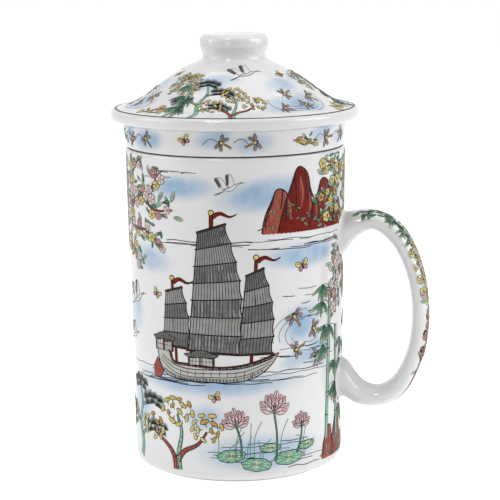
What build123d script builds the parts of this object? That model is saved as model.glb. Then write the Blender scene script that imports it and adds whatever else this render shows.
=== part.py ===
"""Lidded porcelain tea mug with a lift-out infuser.

Everything but the handle is turned about +Z. The foot ring stands on z = 0 with the mug's axis
through the origin, and the handle points along +X. Lengths are in millimetres.
"""

import math
import os

from build123d import *

# --- mug body ---------------------------------------------------------------------------------
mug_height = 114.5
mug_rim_radius = 39.0
mug_base_radius = 37.0
mug_wall = 3.0
mug_floor = 4.0
mug_corner_fillet = 3.5
mug_inside_fillet = 6.0
mug_rim_outer_fillet = 1.2
mug_rim_inner_fillet = 1.0

# --- foot ring, set in from the mug's rounded bottom edge ----------------------------------------
foot_height = 0.8
foot_inset = 0.5
foot_width = 3.0
foot_fillet = 0.3

# --- handle: an oval strap round a tall loop, widening into a root at each end. The loop leans its
# foot outwards by so many degrees -----------------------------------------------------------------
handle_loop_offset = 11.3
handle_loop_middle = 56.4
handle_loop_half_width = 16.9
handle_loop_half_height = 31.9
handle_loop_lean = 1.6
handle_width = 13.0
handle_end_thickness = 7.3
handle_outer_thickness = 6.2
handle_loop_steps = 8
# each root section stands upright: its distance out from the mug's wall, how far its middle is in
# from the end of the loop's centre line, and its thickness
handle_upper_root = [(6.3, 1.0, 8.9), (3.3, 2.7, 11.6), (0.2, 4.7, 14.6)]
handle_lower_root = [(8.0, 0.9, 8.8), (4.8, 3.3, 11.6), (0.5, 6.4, 13.8)]
handle_root_extra_width = 2.0
handle_root_depth = 3.0

# --- infuser: a printed collar on the mug's rim, with a strainer basket hanging inside ------------
collar_height = 9.6
collar_inset = 0.4
collar_flare = 1.1
collar_wall = 3.0
collar_fillet = 1.0
shoulder_thickness = 3.0
shoulder_fillet = 0.8
shoulder_inside_fillet = 1.2
basket_clearance = 1.3
basket_draft = 2.0
basket_depth = 64.0
basket_wall = 2.6
basket_floor = 2.8
basket_corner_fillet = 4.0
strainer_hole = 2.4
floor_ring_pitch = 5.6
floor_rings = 4
holes_per_ring_step = 6
wall_hole_rows = 3
wall_row_pitch = 6.0
wall_holes_per_row = 24
wall_first_row = 10.0

# --- lid: an ogee dome with a rolled rim and a locating flange ------------------------------------
lid_overhang = 4.2
lid_rim_land = 1.7
lid_rim_height = 3.9
lid_rim_rise = 0.3
lid_rim_top_fillet = 1.5
lid_rim_bottom_fillet = 1.4
lid_wall = 3.2
# the dome's curve, as shares of the way from crown to rim, across and up
dome_curve = [(0.16, 0.85), (0.29, 0.73), (0.46, 0.52), (0.62, 0.31), (0.78, 0.12), (0.9, 0.04)]
dome_offset_steps = 12
flange_clearance = 0.8
flange_depth = 5.4
flange_thickness = 2.6
flange_fillet = 0.8

# --- knob: cast hollow and stuck over a hole in the crown of the dome -----------------------------
crown_radius = 11.8
crown_height = 20.9
crown_hole_radius = 7.0
knob_height = 8.8
knob_radius = 12.1
knob_widest_height = 5.4
knob_neck_radius = 10.4
knob_neck_height = 1.1
knob_top_fillet = 1.6
knob_side_fillet = 1.3
knob_neck_fillet = 0.8
knob_cap_thickness = 3.2

# --- places that follow from the sizes above ------------------------------------------------------
mug_taper = (mug_rim_radius - mug_base_radius) / mug_height
mug_floor_top = foot_height + mug_floor
foot_radius = mug_base_radius - mug_corner_fillet - foot_inset
collar_bottom_radius = mug_rim_radius - collar_inset
collar_top_radius = collar_bottom_radius + collar_flare
lid_rim_radius = collar_top_radius + lid_overhang
dome_edge_radius = lid_rim_radius - lid_rim_land
dome_edge_height = lid_rim_height + lid_rim_rise
basket_top_radius = mug_rim_radius - mug_wall - basket_clearance
basket_bottom_radius = basket_top_radius - basket_draft
basket_bottom = mug_height - basket_depth
basket_floor_top = basket_bottom + basket_floor
shoulder_top = mug_height + shoulder_thickness
lid_seat = mug_height + collar_height
crown = lid_seat + crown_height
flange_radius = min(collar_bottom_radius, collar_top_radius) - collar_wall - flange_clearance
flange_inner_radius = flange_radius - flange_thickness


def filled(*lines):
    """The flat section inside lines that join end to end, drawn as radius and height."""
    return make_face([edge for line in lines for edge in line.edges()])


def spun(section):
    """A solid turned about +Z from such a section."""
    return revolve(Plane.XZ * section, axis=Axis.Z)


def turned(outline, fillets):
    """A solid turned about +Z. The outline's first and last points are on the axis."""
    path = FilletPolyline(*outline, radius=fillets)
    return spun(filled(path, Line(path @ 1, path @ 0)))


def mug_radius(z):
    """The outer radius of the mug's tapered wall at a height."""
    return mug_base_radius + mug_taper * z


def mug_body():
    """A tapered cup with a rounded rim, on a foot ring that is recessed inside."""
    foot_inner = foot_radius - foot_width
    inside_rim = mug_rim_radius - mug_wall
    inside_base = mug_radius(mug_floor_top) - mug_wall
    outline = [
        (0, foot_height),
        (foot_inner, foot_height),
        (foot_inner, 0),
        (foot_radius, 0),
        (foot_radius, foot_height),
        (mug_radius(foot_height), foot_height),
        (mug_rim_radius, mug_height),
        (inside_rim, mug_height),
        (inside_base, mug_floor_top),
        (0, mug_floor_top),
    ]
    fillets = [
        foot_fillet,
        foot_fillet,
        foot_fillet,
        foot_fillet,
        mug_corner_fillet,
        mug_rim_outer_fillet,
        mug_rim_inner_fillet,
        mug_inside_fillet,
    ]
    return turned(outline, fillets)


def handle_section(x, z, lean, width, thickness):
    """An oval across the strap. Its normal leans up from +X by this many degrees."""
    normal = (math.cos(math.radians(lean)), 0, math.sin(math.radians(lean)))
    plane = Plane(origin=(x, 0, z), x_dir=(0, 1, 0), z_dir=normal)
    return plane * Ellipse(width / 2, thickness / 2)


def handle_loop_section(angle):
    """The oval where the loop's ellipse has this angle: 90 degrees is its top, 0 its outermost point."""
    turn = math.radians(angle)
    slant = math.tan(math.radians(handle_loop_lean))
    across = handle_loop_half_width * math.cos(turn)
    up = handle_loop_half_height * math.sin(turn)
    x = mug_radius(handle_loop_middle) + handle_loop_offset + across - slant * up
    z = handle_loop_middle + up
    drop = handle_loop_half_height * math.cos(turn)
    run = handle_loop_half_width * math.sin(turn) + slant * drop
    share = math.sin(turn) ** 2
    thickness = handle_outer_thickness + share * (handle_end_thickness - handle_outer_thickness)
    return handle_section(x, z, -math.degrees(math.atan2(drop, run)), handle_width, thickness)


def handle_root_sections(root, side):
    """The upright ovals of one root from the loop inwards, with side 1 for the upper root and -1 for
    the lower. The last one is inside the mug's wall."""
    lean = 0 if side > 0 else 180
    loop_end = handle_loop_middle + side * handle_loop_half_height
    found = []
    for step, (out, inwards, thickness) in enumerate(root, start=1):
        width = handle_width + handle_root_extra_width * step / len(root)
        z = loop_end - side * inwards
        found.append(handle_section(mug_radius(z) + out, z, lean, width, thickness))
    inside = mug_radius(z) + out - handle_root_depth
    found.append(handle_section(inside, z, lean, width, thickness))
    return found


def mug_handle():
    """The loop lofted through its ovals, with both roots cut back to the mug's wall."""
    angles = [90 - 180 * step / handle_loop_steps for step in range(handle_loop_steps + 1)]
    sections = handle_root_sections(handle_upper_root, 1)[::-1]
    sections += [handle_loop_section(angle) for angle in angles]
    sections += handle_root_sections(handle_lower_root, -1)
    strap = loft(sections)
    wall = turned(
        [(0, 0), (mug_radius(0), 0), (mug_rim_radius, mug_height), (0, mug_height)], [0, 0]
    )
    return strap - wall


def strainer_holes():
    """Straight holes in rings through the basket's floor, and in staggered rows through its wall."""
    tall = 2 * basket_wall + basket_floor
    drill = Cylinder(strainer_hole / 2, tall)
    floor_middle = basket_bottom + basket_floor / 2
    holes = [Pos(0, 0, floor_middle) * drill]
    for ring in range(1, floor_rings + 1):
        for spot in PolarLocations(ring * floor_ring_pitch, ring * holes_per_ring_step):
            holes.append(Pos(0, 0, floor_middle) * spot * drill)
    half_turn = 180 / wall_holes_per_row
    for row in range(wall_hole_rows):
        height = basket_bottom + wall_first_row + row * wall_row_pitch
        for spot in PolarLocations(
            basket_bottom_radius, wall_holes_per_row, start_angle=half_turn * (row % 2)
        ):
            holes.append(Pos(0, 0, height) * spot * Rot(0, 90, 0) * drill)
    return holes


def infuser():
    """Collar, shoulder and basket as one casting. The shoulder sits on the mug's rim."""
    collar_inner_bottom = collar_bottom_radius - collar_wall
    outline = [
        (0, basket_bottom),
        (basket_bottom_radius, basket_bottom),
        (basket_top_radius, mug_height),
        (collar_bottom_radius, mug_height),
        (collar_top_radius, lid_seat),
        (collar_top_radius - collar_wall, lid_seat),
        (collar_inner_bottom, shoulder_top),
        (basket_top_radius - basket_wall, shoulder_top),
        (basket_bottom_radius - basket_wall, basket_floor_top),
        (0, basket_floor_top),
    ]
    fillets = [
        basket_corner_fillet,
        shoulder_fillet,
        collar_fillet,
        collar_fillet,
        collar_fillet,
        shoulder_inside_fillet,
        shoulder_inside_fillet,
        basket_corner_fillet - basket_wall / 2,
    ]
    return turned(outline, fillets) - strainer_holes()


def dome_line():
    """The dome's outer curve in the section, from its crown to the rim."""
    width = dome_edge_radius - crown_radius
    height = crown_height - dome_edge_height
    points = [(crown_radius, crown)]
    for across, up in dome_curve:
        points.append((crown_radius + across * width, lid_seat + dome_edge_height + up * height))
    return Spline(*points, (dome_edge_radius, lid_seat + dome_edge_height))


def lid_outline():
    """The filled section of dome, rim and flange."""
    bend = dome_line()
    top = Line((0, crown), bend @ 0)
    rim = FilletPolyline(
        bend @ 1,
        (lid_rim_radius, lid_seat + lid_rim_height),
        (lid_rim_radius, lid_seat),
        (flange_radius, lid_seat),
        (flange_radius, lid_seat - flange_depth),
        (0, lid_seat - flange_depth),
        radius=[lid_rim_top_fillet, lid_rim_bottom_fillet, 0, flange_fillet],
    )
    return filled(top, bend, rim, Line(rim @ 1, top @ 0))


def lid_hollow():
    """The space under the lid: the dome's curve moved in by the wall, cut off at the flange."""
    bend = dome_line()
    points = []
    for step in range(dome_offset_steps + 1):
        share = step / dome_offset_steps
        inwards = (bend % share).rotate(Axis.Z, -90)
        points.append(bend @ share + lid_wall * inwards)
    curve = Spline(*points)
    floor = lid_seat - 2 * flange_depth
    low_corner = ((curve @ 1).X, floor)
    edges = Polyline(curve @ 1, low_corner, (0, floor), (0, (curve @ 0).Y), curve @ 0)
    under_dome = filled(curve, edges)
    reach = Pos(0, lid_seat) * Rectangle(2 * flange_inner_radius, 4 * crown_height)
    return under_dome & reach


def lid():
    """A thin dome with a solid rim. The flange under it drops inside the infuser's collar."""
    crown_hole = Pos(0, crown) * Rectangle(2 * crown_hole_radius, crown_height)
    return spun(lid_outline() - lid_hollow() - crown_hole)


def lid_knob():
    """A flat-topped button on a short neck, hollow over the hole in the dome's crown."""
    outline = [
        (0, crown + knob_height - knob_cap_thickness),
        (crown_hole_radius, crown + knob_height - knob_cap_thickness),
        (crown_hole_radius, crown),
        (crown_radius, crown),
        (knob_neck_radius, crown + knob_neck_height),
        (knob_radius, crown + knob_widest_height),
        (knob_radius, crown + knob_height),
        (0, crown + knob_height),
    ]
    fillets = [knob_top_fillet, 0, 0, knob_neck_fillet, knob_side_fillet, knob_top_fillet]
    return turned(outline, fillets)


pieces = {
    "mug_body": mug_body,
    "mug_handle": mug_handle,
    "infuser": infuser,
    "lid": lid,
    "lid_knob": lid_knob,
}

os.makedirs("parts", exist_ok=True)
for name, make in pieces.items():
    export_step(make(), f"parts/{name}.step")
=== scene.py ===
"""Porcelain tea mug with a lift-out infuser and a domed lid: glaze, unglazed foot and fired prints.

Shapes and drawings are in millimetres and become metres where a mesh is made. The mug's axis is +Z,
its foot stands on z = 0 and its handle points along +X.
"""

import math
import random
from collections import defaultdict

import bpy
import numpy as np
from mathutils import Matrix, Vector
from mathutils.geometry import delaunay_2d_cdt


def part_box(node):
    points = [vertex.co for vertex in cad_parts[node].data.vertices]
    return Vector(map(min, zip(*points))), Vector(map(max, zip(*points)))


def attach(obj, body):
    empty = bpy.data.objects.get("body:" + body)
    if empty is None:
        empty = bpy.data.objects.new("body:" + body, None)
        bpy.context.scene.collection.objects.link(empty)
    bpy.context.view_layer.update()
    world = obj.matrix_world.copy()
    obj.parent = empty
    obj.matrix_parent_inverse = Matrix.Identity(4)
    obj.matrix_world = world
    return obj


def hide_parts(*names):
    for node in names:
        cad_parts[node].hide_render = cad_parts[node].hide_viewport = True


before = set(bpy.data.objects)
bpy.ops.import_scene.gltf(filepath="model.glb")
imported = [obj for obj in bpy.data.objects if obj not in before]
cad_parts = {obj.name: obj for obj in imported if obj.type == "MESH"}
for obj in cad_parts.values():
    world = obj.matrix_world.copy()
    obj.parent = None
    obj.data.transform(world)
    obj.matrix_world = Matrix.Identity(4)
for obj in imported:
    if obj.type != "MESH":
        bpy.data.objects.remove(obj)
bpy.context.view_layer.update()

MM = 0.001


def span(node):
    """A node's lowest and highest corners in millimetres."""
    low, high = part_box(node)
    return np.array(low) / MM, np.array(high) / MM


# --- sizes that come from the frame ---------------------------------------------------------------
mug_height = span("mug_body")[1][2]
lid_seat = span("infuser")[1][2]
basket_bottom = span("infuser")[0][2]
crown = span("lid_knob")[0][2]
knob_top = span("lid_knob")[1][2]
lid_rim_radius = span("lid")[1][0]
knob_radius = span("lid_knob")[1][0]

# --- mug ------------------------------------------------------------------------------------------
mug_rim_radius = 39.0
mug_base_radius = 37.0
mug_wall = 3.0
mug_floor_top = 4.8
mug_corner_fillet = 3.5
mug_rim_fillet = 0.9
mug_rim_inner_fillet = 1.0
mug_inside_fillet = 6.0
foot_height = 0.8
foot_radius = 33.0
foot_width = 3.0
foot_fillet = 0.3
foot_bare_height = 0.4

# --- infuser --------------------------------------------------------------------------------------
collar_bottom_radius = 38.6
collar_top_radius = 39.7
collar_wall = 3.0
collar_top_fillet = 1.0
collar_bottom_fillet = 0.4
seam_gap = 0.45
seam_depth = 1.6
shoulder_thickness = 3.0
shoulder_fillet = 0.8
shoulder_inside_fillet = 1.2
basket_top_radius = 34.7
basket_bottom_radius = 32.7
basket_wall = 2.6
basket_floor = 2.8
basket_corner_fillet = 4.0
basket_inside_fillet = 2.7
strainer_hole = 2.4
strainer_hole_sides = 20
floor_ring_pitch = 5.6
floor_rings = 4
holes_per_ring_step = 6
wall_hole_rows = 3
wall_row_pitch = 6.0
wall_holes_per_row = 24
wall_first_row = 10.0

# --- lid and knob ---------------------------------------------------------------------------------
dome_edge_height = 4.2
lid_rim_height = 3.9
lid_rim_land = 1.7
lid_rim_bottom_fillet = 1.4
lid_rim_top_fillet = 1.5
# shares of the way out from the crown to the rim, and of the dome's height
dome_curve = [(0.16, 0.85), (0.29, 0.73), (0.46, 0.52), (0.62, 0.31), (0.78, 0.12), (0.9, 0.04)]
lid_wall = 3.2
flange_radius = 34.8
flange_depth = 5.4
flange_thickness = 2.6
flange_fillet = 0.8
flange_bare_height = 0.5
crown_radius = 11.8
crown_hole_radius = 7.0
knob_foot_radius = 14.0
knob_neck_radius = 10.6
knob_neck_height = 0.4
knob_side_height = 4.7
knob_foot_fillet = 2.0
knob_neck_fillet = 0.6
knob_top_fillet = 2.2
knob_cap_thickness = 3.2
knob_hollow_fillet = 1.6

# --- handle ---------------------------------------------------------------------------------------
handle_loop_offset = 11.3
handle_loop_middle = 56.4
handle_loop_half_width = 16.9
handle_loop_half_height = 31.9
handle_loop_lean = math.radians(1.6)
handle_width = 13.0
handle_end_thickness = 7.3
handle_outer_thickness = 6.2
# each root's stations: out from the mug's wall, in from the loop's top or bottom, and thickness
handle_upper_root = [(6.3, 1.0, 8.9), (3.3, 2.7, 11.6), (0.2, 4.7, 14.6)]
handle_lower_root = [(8.0, 0.9, 8.8), (4.8, 3.3, 11.6), (0.5, 6.4, 13.8)]
handle_root_extra_width = 2.0
handle_root_depth = 0.6
handle_root_reach = 6.0
handle_sides = 56
handle_rows = 170
slip_fillet = 1.6

# --- prints ---------------------------------------------------------------------------------------
# the front lies this far round from the handle
front_angle = math.radians(-80)
# the flat artwork is rolled round the mug and the collar at this radius
print_radius = 37.85
print_width = 2 * math.pi * print_radius
print_top = mug_height - 2.6
collar_repeats = 6
# one layer of enamel lies on the next, and ink and leaf hearts lie over the fills of their layer
first_layer = 0.03
layer_step = 0.012
ink_rise = 0.008
core_rise = 0.004
print_sink = 0.03
longest_run = 1.3

# --- fineness of the meshes -----------------------------------------------------------------------
segments_round = 384
# the washes are painted on points this near the outer face, in rows this tall
wash_skin = 0.4
wash_row = 0.9


# --- curves ---------------------------------------------------------------------------------------
def spline(points, step):
    """A natural cubic curve through points, with a point about every step millimetres."""
    points = np.asarray(points, float)
    gaps = np.maximum(np.hypot(*np.diff(points[:, :2], axis=0).T), 1e-6)
    count = len(points)
    if count == 2:
        share = np.linspace(0, 1, max(2, int(gaps[0] / step) + 1))[:, None]
        return points[0] + share * (points[1] - points[0])
    system = np.zeros((count, count))
    system[0, 0] = system[-1, -1] = 1
    right = np.zeros_like(points)
    slopes = np.diff(points, axis=0) / gaps[:, None]
    for i in range(1, count - 1):
        system[i, i - 1:i + 2] = gaps[i - 1], 2 * (gaps[i - 1] + gaps[i]), gaps[i]
        right[i] = 6 * (slopes[i] - slopes[i - 1])
    bend = np.linalg.solve(system, right)
    pieces = []
    for i, gap in enumerate(gaps):
        a = np.arange(0, gap, gap / max(1, round(gap / step)))[:, None]
        b = gap - a
        pieces.append(
            (bend[i] * b**3 + bend[i + 1] * a**3) / (6 * gap)
            + (points[i] / gap - bend[i] * gap / 6) * b
            + (points[i + 1] / gap - bend[i + 1] * gap / 6) * a
        )
    pieces.append(points[-1:])
    return np.concatenate(pieces)


def rounded(outline, fillets, steps):
    """A polyline with a round of its own radius, in so many steps, at each inner corner."""
    outline = [np.array(point, float) for point in outline]
    path = [outline[0]]
    for before, corner, after, radius in zip(outline, outline[1:], outline[2:], fillets):
        if not radius:
            path.append(corner)
            continue
        back = (before - corner) / np.linalg.norm(before - corner)
        on = (after - corner) / np.linalg.norm(after - corner)
        half = math.acos(np.clip(back @ on, -1, 1)) / 2
        middle = corner + (back + on) / np.linalg.norm(back + on) * radius / math.sin(half)
        start = corner + back * radius / math.tan(half) - middle
        end = corner + on * radius / math.tan(half) - middle
        turn = math.pi - 2 * half
        for share in np.linspace(0, 1, steps + 1):
            arm = math.sin((1 - share) * turn) * start + math.sin(share * turn) * end
            path.append(middle + arm / math.sin(turn))
    path.append(outline[-1])
    return np.array(path)


def divided(path, longest):
    """The same polyline with no run longer than this."""
    found = [path[0]]
    for a, b in zip(path, path[1:]):
        count = max(1, math.ceil(np.linalg.norm(b - a) / longest))
        found += [a + (b - a) * step / count for step in range(1, count + 1)]
    return np.array(found)


def run_lengths(path):
    """The length along a path from its start to each of its points."""
    return np.concatenate([[0], np.cumsum(np.hypot(*np.diff(path[:, :2], axis=0).T))])


def eased(share):
    """A share from 0 to 1 that starts and ends slowly."""
    return share**2 * (3 - 2 * share)


def turned_by(turn):
    """The matrix that turns rows of flat points by an angle."""
    c, s = math.cos(turn), math.sin(turn)
    return np.array([[c, s], [-s, c]])


# --- meshes ---------------------------------------------------------------------------------------
def put_in_scene(name, data):
    """A new object that shows a mesh, a light or a camera."""
    holder = bpy.data.objects.new(name, data)
    bpy.context.scene.collection.objects.link(holder)
    return holder


def mesh_piece(name, points, faces, material):
    """A smooth-shaded object at the origin, from points in millimetres."""
    mesh = bpy.data.meshes.new(name)
    mesh.from_pydata((np.asarray(points) * MM).tolist(), [], faces)
    mesh.materials.append(material)
    mesh.shade_smooth()
    return put_in_scene(name, mesh)


def turned(name, profile, material):
    """A shape turned about +Z. The profile goes out from the axis underneath, up outside and back in,
    and it starts and ends on the axis or closes on itself."""
    profile = np.asarray(profile, float)
    angles = np.linspace(0, 2 * math.pi, segments_round, endpoint=False)
    points, rings = [], []
    for radius, z in profile:
        start = len(points)
        if radius < 1e-6:
            points.append((0, 0, z))
            rings.append([start] * segments_round)
        else:
            points += [(radius * math.cos(a), radius * math.sin(a), z) for a in angles]
            rings.append(list(range(start, start + segments_round)))
    if profile[0, 0] > 1e-6:
        rings.append(rings[0])
    faces = []
    for low, high in zip(rings, rings[1:]):
        for here in range(segments_round):
            after = (here + 1) % segments_round
            face = [low[here], low[after], high[after], high[here]]
            faces.append([corner for i, corner in enumerate(face) if corner != face[i - 1]])
    return mesh_piece(name, points, faces, material)


def set_attribute(piece, name, values):
    """One number for each point of a piece, for its material to read."""
    attribute = piece.data.attributes.new(name, "FLOAT", "POINT")
    attribute.data.foreach_set("value", np.asarray(values, np.float32))


def mesh_points(mesh):
    """A mesh's points in its own units."""
    found = np.zeros(3 * len(mesh.vertices))
    mesh.vertices.foreach_get("co", found)
    return found.reshape(-1, 3)


def coat(piece, material, chosen):
    """Gives a material to the faces whose radius and height, in millimetres, pass a test."""
    piece.data.materials.append(material)
    for face in piece.data.polygons:
        x, y, z = face.center / MM
        if chosen(math.hypot(x, y), z):
            face.material_index = 1


# --- node trees -----------------------------------------------------------------------------------
def node(tree, kind, links=None, **settings):
    """Adds one node, with its settings, and its inputs as values or as links from other sockets."""
    made = tree.nodes.new(kind)
    for key, value in settings.items():
        setattr(made, key, value)
    for key, value in (links or {}).items():
        if isinstance(value, bpy.types.NodeSocket):
            tree.links.new(value, made.inputs[key])
        else:
            made.inputs[key].default_value = value
    return made


def new_geometry_tree(name, inputs):
    """An empty Geometry Nodes tree with named inputs, and its group input node."""
    tree = bpy.data.node_groups.new(name, "GeometryNodeTree")
    tree.interface.new_socket("Geometry", in_out="INPUT", socket_type="NodeSocketGeometry")
    tree.interface.new_socket("Geometry", in_out="OUTPUT", socket_type="NodeSocketGeometry")
    for label, kind in inputs.items():
        tree.interface.new_socket(label, in_out="INPUT", socket_type="NodeSocket" + kind)
    return tree, node(tree, "NodeGroupInput")


def grown(piece, tree, values):
    """The plain mesh that a Geometry Nodes tree makes of a piece."""
    modifier = piece.modifiers.new(tree.name, "NODES")
    modifier.node_group = tree
    for item in tree.interface.items_tree:
        if item.in_out == "INPUT" and item.name in values:
            modifier[item.identifier] = values[item.name]
    seen = bpy.context.evaluated_depsgraph_get()
    mesh = bpy.data.meshes.new_from_object(piece.evaluated_get(seen), depsgraph=seen)
    piece.modifiers.remove(modifier)
    return mesh


def stamping_tree():
    """Puts one stamp at every anchor, turned and sized by the anchor with a little chance on top."""
    tree, given = new_geometry_tree(
        "stamping",
        {"Stamp": "Object", "Size spread": "Float", "Turn spread": "Float", "Seed": "Int",
         "Enamel": "Material"},
    )
    stamp = node(tree, "GeometryNodeObjectInfo", {"Object": given.outputs["Stamp"], "As Instance": True})
    turn = node(tree, "GeometryNodeInputNamedAttribute", {"Name": "turn"}, data_type="FLOAT")
    size = node(tree, "GeometryNodeInputNamedAttribute", {"Name": "size"}, data_type="FLOAT")

    def chance(spread, middle, seed_shift):
        """A random number no further than the spread from the middle."""
        low = node(tree, "ShaderNodeMath", {0: middle, 1: spread}, operation="SUBTRACT")
        high = node(tree, "ShaderNodeMath", {0: middle, 1: spread}, operation="ADD")
        seed = node(tree, "ShaderNodeMath", {0: given.outputs["Seed"], 1: seed_shift}, operation="ADD")
        return node(
            tree, "FunctionNodeRandomValue",
            {2: low.outputs[0], 3: high.outputs[0], "Seed": seed.outputs[0]}, data_type="FLOAT",
        ).outputs[1]

    lean = node(
        tree, "ShaderNodeMath",
        {0: turn.outputs["Attribute"], 1: chance(given.outputs["Turn spread"], 0.0, 1)}, operation="ADD",
    )
    scale = node(
        tree, "ShaderNodeMath",
        {0: size.outputs["Attribute"], 1: chance(given.outputs["Size spread"], 1.0, 2)},
        operation="MULTIPLY",
    )
    turn_about = node(tree, "ShaderNodeCombineXYZ", {"Z": lean.outputs[0]})
    scale_flat = node(tree, "ShaderNodeCombineXYZ", {"X": scale.outputs[0], "Y": scale.outputs[0], "Z": 1.0})
    put = node(
        tree, "GeometryNodeInstanceOnPoints",
        {"Points": given.outputs["Geometry"], "Instance": stamp.outputs["Geometry"],
         "Rotation": turn_about.outputs[0], "Scale": scale_flat.outputs[0]},
    )
    real = node(tree, "GeometryNodeRealizeInstances", {"Geometry": put.outputs[0]})
    inked = node(
        tree, "GeometryNodeSetMaterial",
        {"Geometry": real.outputs[0], "Material": given.outputs["Enamel"]},
    )
    node(tree, "NodeGroupOutput", {"Geometry": inked.outputs[0]})
    return tree


def drilling_tree():
    """Drills a round hole through a shell at every anchor, along the anchor's aim."""
    tree, given = new_geometry_tree(
        "drilling",
        {"Anchors": "Object", "Hole radius": "Float", "Drill length": "Float", "Sides": "Int",
         "Glaze": "Material"},
    )
    anchors = node(tree, "GeometryNodeObjectInfo", {"Object": given.outputs["Anchors"]})
    aim = node(tree, "GeometryNodeInputNamedAttribute", {"Name": "aim"}, data_type="FLOAT_VECTOR")
    along = node(tree, "FunctionNodeAlignRotationToVector", {"Vector": aim.outputs["Attribute"]}, axis="Z")
    drill = node(
        tree, "GeometryNodeMeshCylinder",
        {"Vertices": given.outputs["Sides"], "Radius": given.outputs["Hole radius"],
         "Depth": given.outputs["Drill length"]},
    )
    put = node(
        tree, "GeometryNodeInstanceOnPoints",
        {"Points": anchors.outputs["Geometry"], "Instance": drill.outputs["Mesh"],
         "Rotation": along.outputs[0]},
    )
    drills = node(tree, "GeometryNodeRealizeInstances", {"Geometry": put.outputs[0]})
    cut = node(tree, "GeometryNodeMeshBoolean", operation="DIFFERENCE", solver="EXACT")
    tree.links.new(given.outputs["Geometry"], cut.inputs["Mesh 1"])
    tree.links.new(drills.outputs[0], cut.inputs["Mesh 2"])
    real = node(tree, "GeometryNodeRealizeInstances", {"Geometry": cut.outputs["Mesh"]})
    glazed = node(
        tree, "GeometryNodeSetMaterial",
        {"Geometry": real.outputs[0], "Material": given.outputs["Glaze"]},
    )
    node(tree, "NodeGroupOutput", {"Geometry": glazed.outputs[0]})
    return tree


# --- materials ------------------------------------------------------------------------------------
def linear(hex_value):
    """A linear colour from its sRGB hex value."""
    parts = [int(hex_value[i:i + 2], 16) / 255 for i in (1, 3, 5)]
    return [p / 12.92 if p <= 0.04045 else ((p + 0.055) / 1.055) ** 2.4 for p in parts] + [1.0]


def per_metre(grain):
    """A noise texture's scale, from the size in millimetres of one of its patches."""
    return 1 / (grain * MM)


def new_material(name):
    """A node material with only its Principled shader and output, and that shader."""
    material = bpy.data.materials.new(name)
    material.use_nodes = True
    tree = material.node_tree
    tree.nodes.clear()
    shader = node(tree, "ShaderNodeBsdfPrincipled")
    node(tree, "ShaderNodeOutputMaterial", {"Surface": shader.outputs[0]})
    return material, tree, shader


def glazed_porcelain():
    """Hard-paste porcelain under a fired clear glaze: cool white, mirror-smooth with a slow ripple,
    and cobalt washes that bleed into the glaze where the piece's wash attribute says."""
    material, tree, shader = new_material("glazed_porcelain")
    place = node(tree, "ShaderNodeTexCoord").outputs["Object"]
    cloud = node(tree, "ShaderNodeTexNoise", {"Vector": place, "Scale": per_metre(17), "Detail": 3.0})
    body = node(
        tree, "ShaderNodeMix",
        {"Factor": cloud.outputs["Fac"], 6: linear("#ECECEC"), 7: linear("#F0F0F0")}, data_type="RGBA",
    )
    wash = node(tree, "ShaderNodeAttribute", attribute_name="wash").outputs["Fac"]
    bleed = node(tree, "ShaderNodeTexNoise", {"Vector": place, "Scale": per_metre(6), "Detail": 4.0})
    uneven = node(
        tree, "ShaderNodeMapRange",
        {"Value": bleed.outputs["Fac"], "From Min": 0.3, "From Max": 0.7, "To Min": 0.72, "To Max": 1.18},
    )
    amount = node(
        tree, "ShaderNodeMath", {0: wash, 1: uneven.outputs[0]}, operation="MULTIPLY", use_clamp=True
    )
    tint = node(
        tree, "ShaderNodeMix",
        {"Factor": amount.outputs[0], 6: body.outputs[2], 7: linear("#8FB6D9")}, data_type="RGBA",
    )
    tree.links.new(tint.outputs[2], shader.inputs["Base Color"])
    sheen = node(
        tree, "ShaderNodeMapRange",
        {"Value": cloud.outputs["Fac"], "To Min": 0.04, "To Max": 0.09},
    )
    tree.links.new(sheen.outputs[0], shader.inputs["Roughness"])
    ripple = node(tree, "ShaderNodeTexNoise", {"Vector": place, "Scale": per_metre(11), "Detail": 1.0})
    bump = node(
        tree, "ShaderNodeBump", {"Height": ripple.outputs["Fac"], "Strength": 0.05, "Distance": 0.6 * MM}
    )
    tree.links.new(bump.outputs[0], shader.inputs["Normal"])
    shader.inputs["IOR"].default_value = 1.5
    shader.inputs["Specular IOR Level"].default_value = 0.65
    return material


def bisque():
    """Unglazed porcelain on the foot ring and the lid's flange: matt and a little warm. The grain of
    fired clay is a few hundredths of a millimetre, and is drawn coarser so that it shows."""
    material, tree, shader = new_material("bisque")
    place = node(tree, "ShaderNodeTexCoord").outputs["Object"]
    grain = node(tree, "ShaderNodeTexNoise", {"Vector": place, "Scale": per_metre(0.4), "Detail": 3.0})
    body = node(
        tree, "ShaderNodeMix",
        {"Factor": grain.outputs["Fac"], 6: linear("#E3DFD8"), 7: linear("#EEEBE6")}, data_type="RGBA",
    )
    tree.links.new(body.outputs[2], shader.inputs["Base Color"])
    bump = node(
        tree, "ShaderNodeBump", {"Height": grain.outputs["Fac"], "Strength": 0.4, "Distance": 0.05 * MM}
    )
    tree.links.new(bump.outputs[0], shader.inputs["Normal"])
    shader.inputs["Roughness"].default_value = 0.8
    return material


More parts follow.
